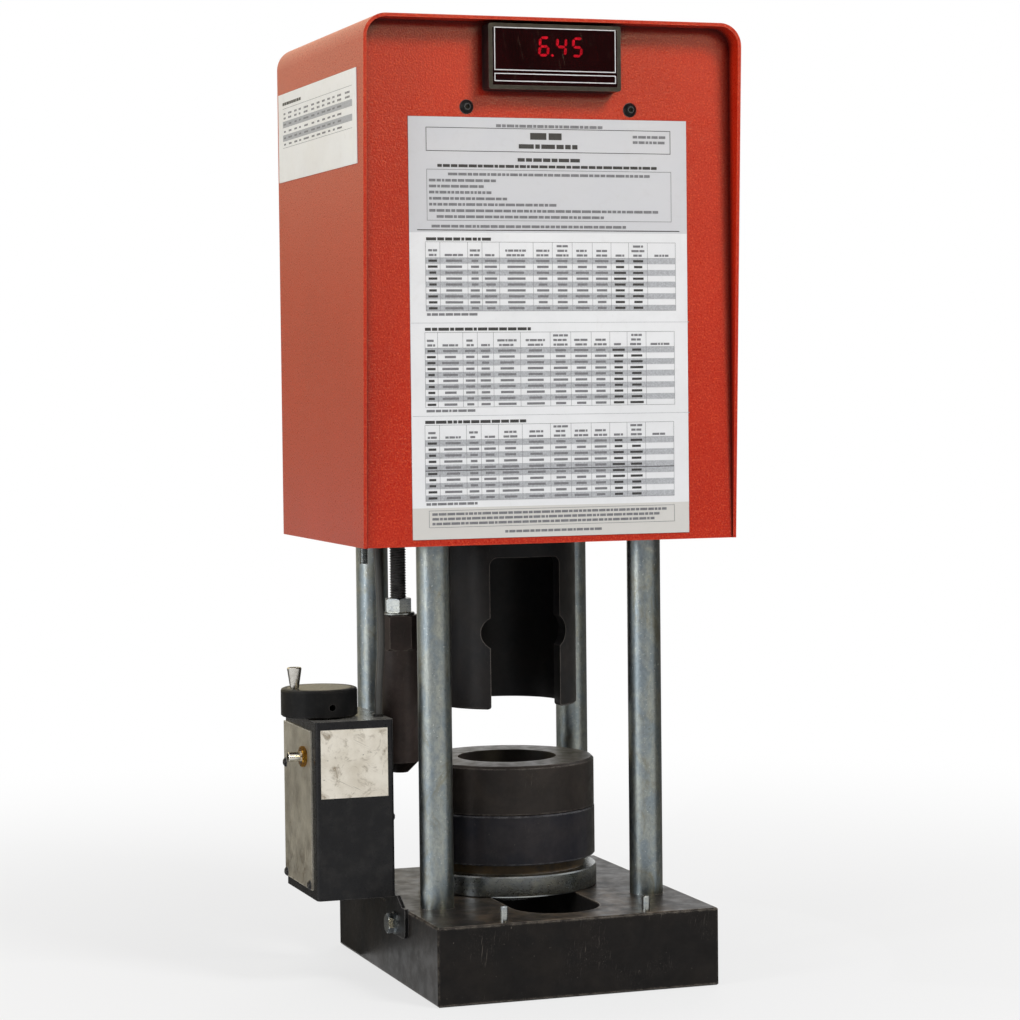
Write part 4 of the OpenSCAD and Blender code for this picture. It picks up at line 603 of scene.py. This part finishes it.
def front_chart():
    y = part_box("crimp_chart")[0].y
    p = Print(lambda x, z, lift: (x * MM, y - lift * MM, z * MM))
    rng = random.Random(7)
    p.line(-41.5, 42, 637.6, 1.7, TEXT, rng)
    p.frame(-95.6, 96.2, 618.5, 635.9, 0.45, BOLD)
    for x0, x1, z, high, tone in CHART_HEADING:
        p.line(x0, x1, z, high, tone, rng)
    p.frame(-95.4, 96.6, 568.0, 605.4, 0.35, RULE)
    for x0, x1, z in CHART_NOTES:
        p.line(x0, x1, z, NOTE_HIGH, TEXT, rng)
    p.block(-103, 103, 560.8, 561.5, BOLD, WORD_LIFT)
    for t in CHART_TABLES:
        p.line(*t["title"], TITLE_HIGH, BOLD, rng)
        table(p, t["x"], t["heights"], t["rows"], t["grey_rows"], rng, t["thick_after"])
        p.line(*t["note"], FOOT_HIGH, TEXT, rng)
        if t["fold"]:
            start, z = t["fold"]
            p.block(start, FOLD_TO, z, z + FOLD_WIDE, GREY, FOLD_LIFT)
    p.frame(-96.5, 97.2, 343.6, 356.2, 0.3, RULE)
    for z in (353.4, 349.9, 346.4):
        p.line(-94, 92 - rng.uniform(0, 12), z, FOOT_HIGH, TEXT, rng)
    p.line(-37.7, 38.6, 339.6, FOOT_HIGH, TEXT, rng)
    add_piece("chart_print", p.verts, p.faces, "chart_sheet", "frame", INKS, p.which)


SIDE_COLUMNS = (-98, -86, -66, -52, -40, -16, 0, 15, 30, 45, 56, 76, 100)
SIDE_ROWS = (656.2, 650.6, 645.6, 640.6)
SIDE_ROW_HIGH = 5


def side_print():
    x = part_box("side_label")[0].x
    p = Print(lambda y, z, lift: (x - lift * MM, -y * MM, z * MM))
    rng = random.Random(11)
    cols, first, last = SIDE_COLUMNS, SIDE_COLUMNS[0], SIDE_COLUMNS[-1]
    p.line(first, -43, 669.8, TITLE_HIGH, BOLD, rng)
    p.block(first, last, 666.0, 666.3, RULE)
    for r, z in enumerate(SIDE_ROWS):
        if r % 2 == 0:
            p.block(first, last, z - SIDE_ROW_HIGH, z, GREY)
        for a, b in zip(cols, cols[1:-1]):
            mid, half = (a + b) / 2, (b - a) * rng.uniform(0.2, 0.34)
            p.rule(mid - half, mid + half, z - SIDE_ROW_HIGH / 2, 1.4, TEXT, WORD_LIFT)
    for a, b in zip(cols, cols[1:]):
        mid, half = (a + b) / 2, (b - a) * 0.26
        for k in range(2):
            p.line(mid - half, mid + half, 658.6 + 3.4 * k, 1.2, TEXT, rng)
    p.block(first, last, 635.3, 635.6, RULE)
    add_piece("side_label_print", p.verts, p.faces, "side_sheet", "frame", INKS, p.which)


def meter_outline():
    """Two thin pale frames printed on the window."""
    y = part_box("meter_window")[0].y
    p = Print(lambda x, z, lift: (x * MM, y - lift * MM, z * MM))
    for low, high in ((676.6, 708.0), (668.6, 674.6)):
        p.frame(-47.2, 47.4, low, high, 0.7, 0)
    pale = ink("ink_pale", sRGB(190, 190, 192))
    add_piece("meter_outline", p.verts, p.faces, "meter_glass", "frame", [pale])


# ---------- threads, cable and springs ----------

ROUND = 24  # points of one turn of a thread or a coil
UP = Vector((0, 0, 1))


def around(angle):
    return Vector((math.cos(angle), math.sin(angle), 0))


def thread(name, centres, radius, depth, pitch, z0, z1, slot, body):
    """Screw thread: a V groove wound round one or more upright rods at the centres (x, y)."""
    verts, faces = [], []
    rows = int((z1 - z0) / pitch * ROUND)
    # Corners of one pitch of the profile: crest, flank and root, as (share of the pitch, radius).
    profile = ((0, radius), (0.12, radius), (0.5, radius - depth), (0.62, radius - depth))
    n = len(profile)
    for x, y in centres:
        first, centre = len(verts), Vector((x, y, 0))
        for i in range(rows + ROUND + 1):
            out = around(2 * math.pi * i / ROUND)
            for share, r in profile:
                z = min(max(z0 + (i / ROUND - 1 + share) * pitch, z0), z1)
                verts.append(centre + r * out + z * UP)
        for i in range(rows + ROUND):
            for k in range(n - 1):
                a = first + i * n + k
                faces.append((a, a + n, a + n + 1, a + 1))
            if i < rows:
                a, b = first + i * n + n - 1, first + (i + ROUND) * n
                faces.append((a, a + n, b + n, b))
        for z, turn in ((z0, -1), (z1, 1)):
            cap = len(verts)
            verts += [centre + (radius - depth) * around(turn * 2 * math.pi * k / ROUND) + z * UP
                      for k in range(ROUND)]
            faces.append(tuple(range(cap, cap + ROUND)))
    return add_piece(name, verts, faces, slot, body)


ROD_DEPTH, ROD_PITCH = 0.9 * MM, 2 * MM
STUD_RADIUS, STUD_DEPTH, STUD_PITCH = 3.35 * MM, 0.5 * MM, 1.25 * MM
SPRING_RADIUS = 10 * MM


def rod_threads():
    """The actuator's threaded rod, and the ends of the eyebolts below the ram plate."""
    low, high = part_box("actuator_rod")
    middle = (low + high) / 2
    rod = thread("actuator_rod_thread", [(middle.x, middle.y)], (high.x - low.x) / 2,
                 ROD_DEPTH, ROD_PITCH, low.z, high.z, "black_oxide", "ram")
    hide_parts("actuator_rod")
    bolt_end, nut_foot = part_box("lower_eyebolts")[0].z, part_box("eyebolt_nuts")[0].z
    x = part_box("return_springs")[1].x - SPRING_RADIUS
    thread("stud_threads", [(-x, 0), (x, 0)], STUD_RADIUS, STUD_DEPTH, STUD_PITCH,
           bolt_end, nut_foot, "zinc_bright", "ram")


# The lead's route in mm, from the gland on the setting box to the plug behind the meter.
LEAD_ROUTE = (
    (-119.5, -52, 188), (-119.5, -52, 202), (-118.8, -52.3, 222), (-117.0, -52.9, 250),
    (-116.8, -53.0, 275), (-117.9, -52.6, 305), (-119.2, -52.1, 335), (-119.5, -52, 365),
    (-119.5, -52, 430), (-119.5, -52, 500), (-119.5, -52, 570), (-119.5, -52, 630),
    (-119.5, -52, 668.9), (-118.74, -51.56, 674.46), (-116.52, -50.28, 679.48),
    (-113.07, -48.29, 683.46), (-108.73, -45.78, 686.02), (-103.91, -43, 686.9),
    (-80, -29.2, 686.9), (-51, -12.45, 686.9), (-45.13, -10.31, 686.9), (-38.87, -10.31, 686.9),
    (-33, -12.45, 686.9), (-28.21, -16.47, 686.9), (-25.09, -21.88, 686.9), (-24, -28.04, 686.9),
    (-24, -41, 686.9))
LEAD_RADIUS = 2.8 * MM
PLUG_PLACE, PLUG_HALF = Vector((-24, -46, 686.9)) * MM, Vector((14, 6, 6)) * MM
PLUG_ROUNDING = 1.4 * MM


def sensor_plug():
    """The plug on the lead's end, behind the meter."""
    plug = bmesh.new()
    bmesh.ops.create_cube(plug, size=2)
    bmesh.ops.transform(plug, matrix=Matrix.LocRotScale(PLUG_PLACE, None, PLUG_HALF),
                        verts=plug.verts)
    bmesh.ops.bevel(plug, geom=plug.edges[:], offset=PLUG_ROUNDING, segments=3, affect="EDGES")
    mesh = bpy.data.meshes.new("sensor_plug")
    plug.to_mesh(mesh)
    plug.free()
    mesh.materials.append(FINISHES["rubber_black"].material)
    end = bpy.data.objects.new("sensor_plug", mesh)
    link(end)
    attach(end, "frame")
    return end


def sensor_cable():
    """The lead from the setting box up into the shroud, to the back of the meter."""
    line = bpy.data.curves.new("sensor_lead", "CURVE")
    line.dimensions = "3D"
    line.bevel_depth, line.bevel_resolution, line.use_fill_caps = LEAD_RADIUS, 5, True
    spline = line.splines.new("BEZIER")
    spline.bezier_points.add(len(LEAD_ROUTE) - 1)
    for point, at in zip(spline.bezier_points, LEAD_ROUTE):
        point.co = Vector(at) * MM
        point.handle_left_type = point.handle_right_type = "AUTO"
    line.materials.append(FINISHES["cable_grey"].material)
    lead = bpy.data.objects.new("sensor_lead", line)
    link(lead)
    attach(lead, "frame")
    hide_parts("sensor_cable")
    end = sensor_plug()


def sweep(points, frames, section):
    """Tube through points; each frame is (across, up) and section is a list of (a, b)."""
    verts, faces, n = [], [], len(section)
    for p, (u, v) in zip(points, frames):
        verts += [p + u * a + v * b for a, b in section]
    for i in range(len(points) - 1):
        for k in range(n):
            a, b = i * n + k, i * n + (k + 1) % n
            faces.append((a, b, b + n, a + n))
    faces.append(tuple(range(n))[::-1])
    faces.append(tuple(range(len(verts) - n, len(verts))))
    return verts, faces


def coil(centre, radius, z0, z1, turns):
    """Points and frames of a coil about an upright axis."""
    points, frames, count = [], [], turns * ROUND
    for i in range(count + 1):
        t = i / count
        out = around(2 * math.pi * turns * t)
        points.append(centre + out * radius + (z0 + (z1 - z0) * t) * UP)
        frames.append((out, UP))
    return points, frames


def hook(centre, radius, z):
    """Points and frames of the loop about (centre, z) that ends a spring, left open by a gap."""
    points, frames = [], []
    for k in range(ROUND - 1):
        a = -math.pi / 2 + 2 * math.pi * k / ROUND
        out = Vector((0, math.cos(a), math.sin(a)))
        points.append(centre + z * UP + out * radius)
        frames.append((out, Vector((1, 0, 0))))
    return points, frames


SPRING_WIRE = 1.3 * MM  # radius of the wire
COIL_PITCH = 1.06  # wires from one turn to the next
WIRE_SIDES = 8


def return_springs():
    """Close-wound extension springs with a loop at each end, made at the CAD springs' length; the
    real ones are drawn out as the ram goes down.
    """
    low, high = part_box("return_springs")
    wire = SPRING_WIRE
    radius = (high.y - low.y) / 2 - wire
    coil_low, coil_high = low.z + 2 * radius + wire, high.z - 2 * radius - wire
    turns = int((coil_high - coil_low) / (2 * wire * COIL_PITCH))
    corners = (2 * math.pi * k / WIRE_SIDES for k in range(WIRE_SIDES))
    section = [(wire * math.cos(a), wire * math.sin(a)) for a in corners]
    verts, faces = [], []
    for x in (low.x + radius + wire, high.x - radius - wire):
        centre = Vector((x, (low.y + high.y) / 2, 0))
        for points, frames in (coil(centre, radius, coil_low, coil_high, turns),
                               hook(centre, radius, coil_low - radius),
                               hook(centre, radius, coil_high + radius)):
            tube_verts, tube_faces = sweep(points, frames, section)
            n = len(verts)
            verts += tube_verts
            faces += [tuple(i + n for i in face) for face in tube_faces]
    mesh = bpy.data.meshes.new("return_spring_coils")
    mesh.from_pydata([tuple(v) for v in verts], [], faces)
    mesh.materials.append(FINISHES["spring_steel"].material)
    mesh.polygons.foreach_set("use_smooth", [True] * len(mesh.polygons))
    obj = bpy.data.objects.new("return_spring_coils", mesh)
    link(obj)
    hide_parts("return_springs")
    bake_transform(obj)


front_chart()
side_print()
meter_outline()
return_springs()
sensor_cable()
rod_threads()


# ---------- studio ----------

FLOOR_HALF, FLOOR_DROP = 12, 0.4 * MM  # the floor lies just below the base, so they never meet
FLOOR_GREY = (0.5, 0.5, 0.5, 1)
FADE_FROM, FADE_TO, NEAR_WHITE = 0.2, 1.3, 0.72  # the floor turns white with distance, in metres
WORLD_STRENGTH = 0.18
AIM = Vector((0, 0, 0.35))


def white_where_seen(tree):
    """1 for the rays that show the background, else 0."""
    path = tree.nodes.new("ShaderNodeLightPath")
    seen = path.outputs["Is Camera Ray"]
    for name in ("Is Glossy Ray", "Is Transmission Ray"):
        either = tree.nodes.new("ShaderNodeMath")
        either.operation = "MAXIMUM"
        tree.links.new(seen, either.inputs[0])
        tree.links.new(path.outputs[name], either.inputs[1])
        seen = either.outputs[0]
    return seen


def floor_material():
    """A pale floor that takes shadows near the machine and fades to white."""
    f = Finish("floor", Base_Color=FLOOR_GREY, Roughness=0.8)
    f.bumps((f.noise(40, 3, 0.5), 0.05))
    white = f.node("ShaderNodeEmission")
    white.inputs["Strength"].default_value = 1.0
    away = f.node("ShaderNodeVectorMath", operation="LENGTH")
    f.feed(away.inputs[0], f.place)
    share = f.span(away.outputs["Value"], FADE_FROM, FADE_TO, NEAR_WHITE, 1.0)
    both = f.node("ShaderNodeMixShader")
    f.feed(both.inputs[0], f.times(share, white_where_seen(f.tree)))
    f.feed(both.inputs[1], f.shader.outputs[0])
    f.feed(both.inputs[2], white.outputs[0])
    f.feed(f.out.inputs["Surface"], both.outputs[0])
    return f.material


def stage_mesh(name, verts, faces, material):
    mesh = bpy.data.meshes.new(name)
    mesh.from_pydata(verts, [], faces)
    mesh.materials.append(material)
    obj = bpy.data.objects.new(name, mesh)
    link(obj)
    return obj


def lay_floor():
    h = FLOOR_HALF
    floor = stage_mesh("floor", [(-h, -h, 0), (h, -h, 0), (h, h, 0), (-h, h, 0)], [(0, 1, 2, 3)],
                       floor_material())
    floor.location = (0, 0, -FLOOR_DROP)


def world_light():
    """Weak white light all round, and plain white where the background is seen."""
    world = bpy.data.worlds.new("studio")
    bpy.context.scene.world = world
    world.use_nodes = True
    tree = world.node_tree
    tree.nodes.clear()
    out = tree.nodes.new("ShaderNodeOutputWorld")
    fill = tree.nodes.new("ShaderNodeBackground")
    fill.inputs["Strength"].default_value = WORLD_STRENGTH
    seen = tree.nodes.new("ShaderNodeBackground")
    both = tree.nodes.new("ShaderNodeMixShader")
    for back in (fill, seen):
        back.inputs["Color"].default_value = (1, 1, 1, 1)
    tree.links.new(white_where_seen(tree), both.inputs[0])
    tree.links.new(fill.outputs[0], both.inputs[1])
    tree.links.new(seen.outputs[0], both.inputs[2])
    tree.links.new(both.outputs[0], out.inputs["Surface"])


def soft_box(name, place, size, power, gloss=True, diffuse=True, colour=(1, 1, 1)):
    """A flat lamp aimed at the machine's middle."""
    light = bpy.data.lights.new(name, "AREA")
    light.shape = "RECTANGLE"
    light.size, light.size_y = size
    light.energy, light.color = power, colour
    obj = bpy.data.objects.new(name, light)
    obj.location = place
    obj.rotation_euler = (AIM - Vector(place)).to_track_quat("-Z", "Y").to_euler()
    obj.visible_glossy, obj.visible_diffuse = gloss, diffuse
    link(obj)


def glow(name, colour, strength):
    f = Finish(name, Base_Color=(0, 0, 0, 1), Roughness=1.0, Emission_Color=(*colour, 1))
    f.set(Emission_Strength=strength)
    return f.material


FLAG_STEPS = 24


def studio_flag(name, profile, start, end, material):
    """A curved screen that only reflections see. profile is its (radius, height) points, and it
    stands from angle start to angle end, in degrees from the front towards the right."""
    verts, faces, n = [], [], len(profile)
    for i in range(FLAG_STEPS + 1):
        a = math.radians(start + (end - start) * i / FLAG_STEPS)
        verts += [(r * math.sin(a), -r * math.cos(a), z) for r, z in profile]
    for i in range(FLAG_STEPS):
        for j in range(n - 1):
            k = i * n + j
            faces.append((k, k + n, k + n + 1, k + 1))
    obj = stage_mesh(name, verts, faces, material)
    obj.visible_camera = obj.visible_diffuse = obj.visible_shadow = False
    obj.visible_transmission = False


lay_floor()
world_light()
soft_box("key", (1.35, -2.35, 2.6), (0.9, 0.9), 88, gloss=False)
soft_box("key_gloss", (0.95, -2.7, 1.35), (1.4, 0.4), 24, diffuse=False, colour=(1.0, 0.84, 0.56))
soft_box("back", (1.6, 2.6, 1.8), (1.4, 1.4), 26, gloss=False)
soft_box("left", (-2.8, -0.9, 1.3), (0.7, 1.8), 44)
soft_box("top", (0, 0.4, 3.0), (2.0, 2.0), 26)

DARK = glow("dark_flag", (1.0, 1.0, 1.0), 0.04)
GREY_CARD = glow("grey_flag", (1.0, 0.96, 0.86), 0.13)
WARM_LOW = glow("warm_low", (1.0, 0.84, 0.50), 0.45)
WARM_HIGH = glow("warm_high", (1.0, 0.88, 0.60), 1.15)
WALL, MAT = 4.2, 2 * MM  # radius of the walls and height of the mats on the floor
studio_flag("dark_flag_front", [(WALL, -0.2), (WALL, 2.4)], -58, 50, DARK)
studio_flag("grey_flag_right", [(0.3, MAT), (WALL, MAT), (WALL, 3.2)], 50, 148, GREY_CARD)
studio_flag("dark_flag_back", [(0.05, MAT), (2.4, MAT)], 165, 250, DARK)
studio_flag("warm_wall_low", [(WALL, -0.2), (WALL, 0.9)], 165, 250, WARM_LOW)
studio_flag("warm_wall_high", [(WALL, 0.9), (WALL, 3.4)], 165, 250, WARM_HIGH)

bpy.context.scene.view_settings.view_transform = "Standard"
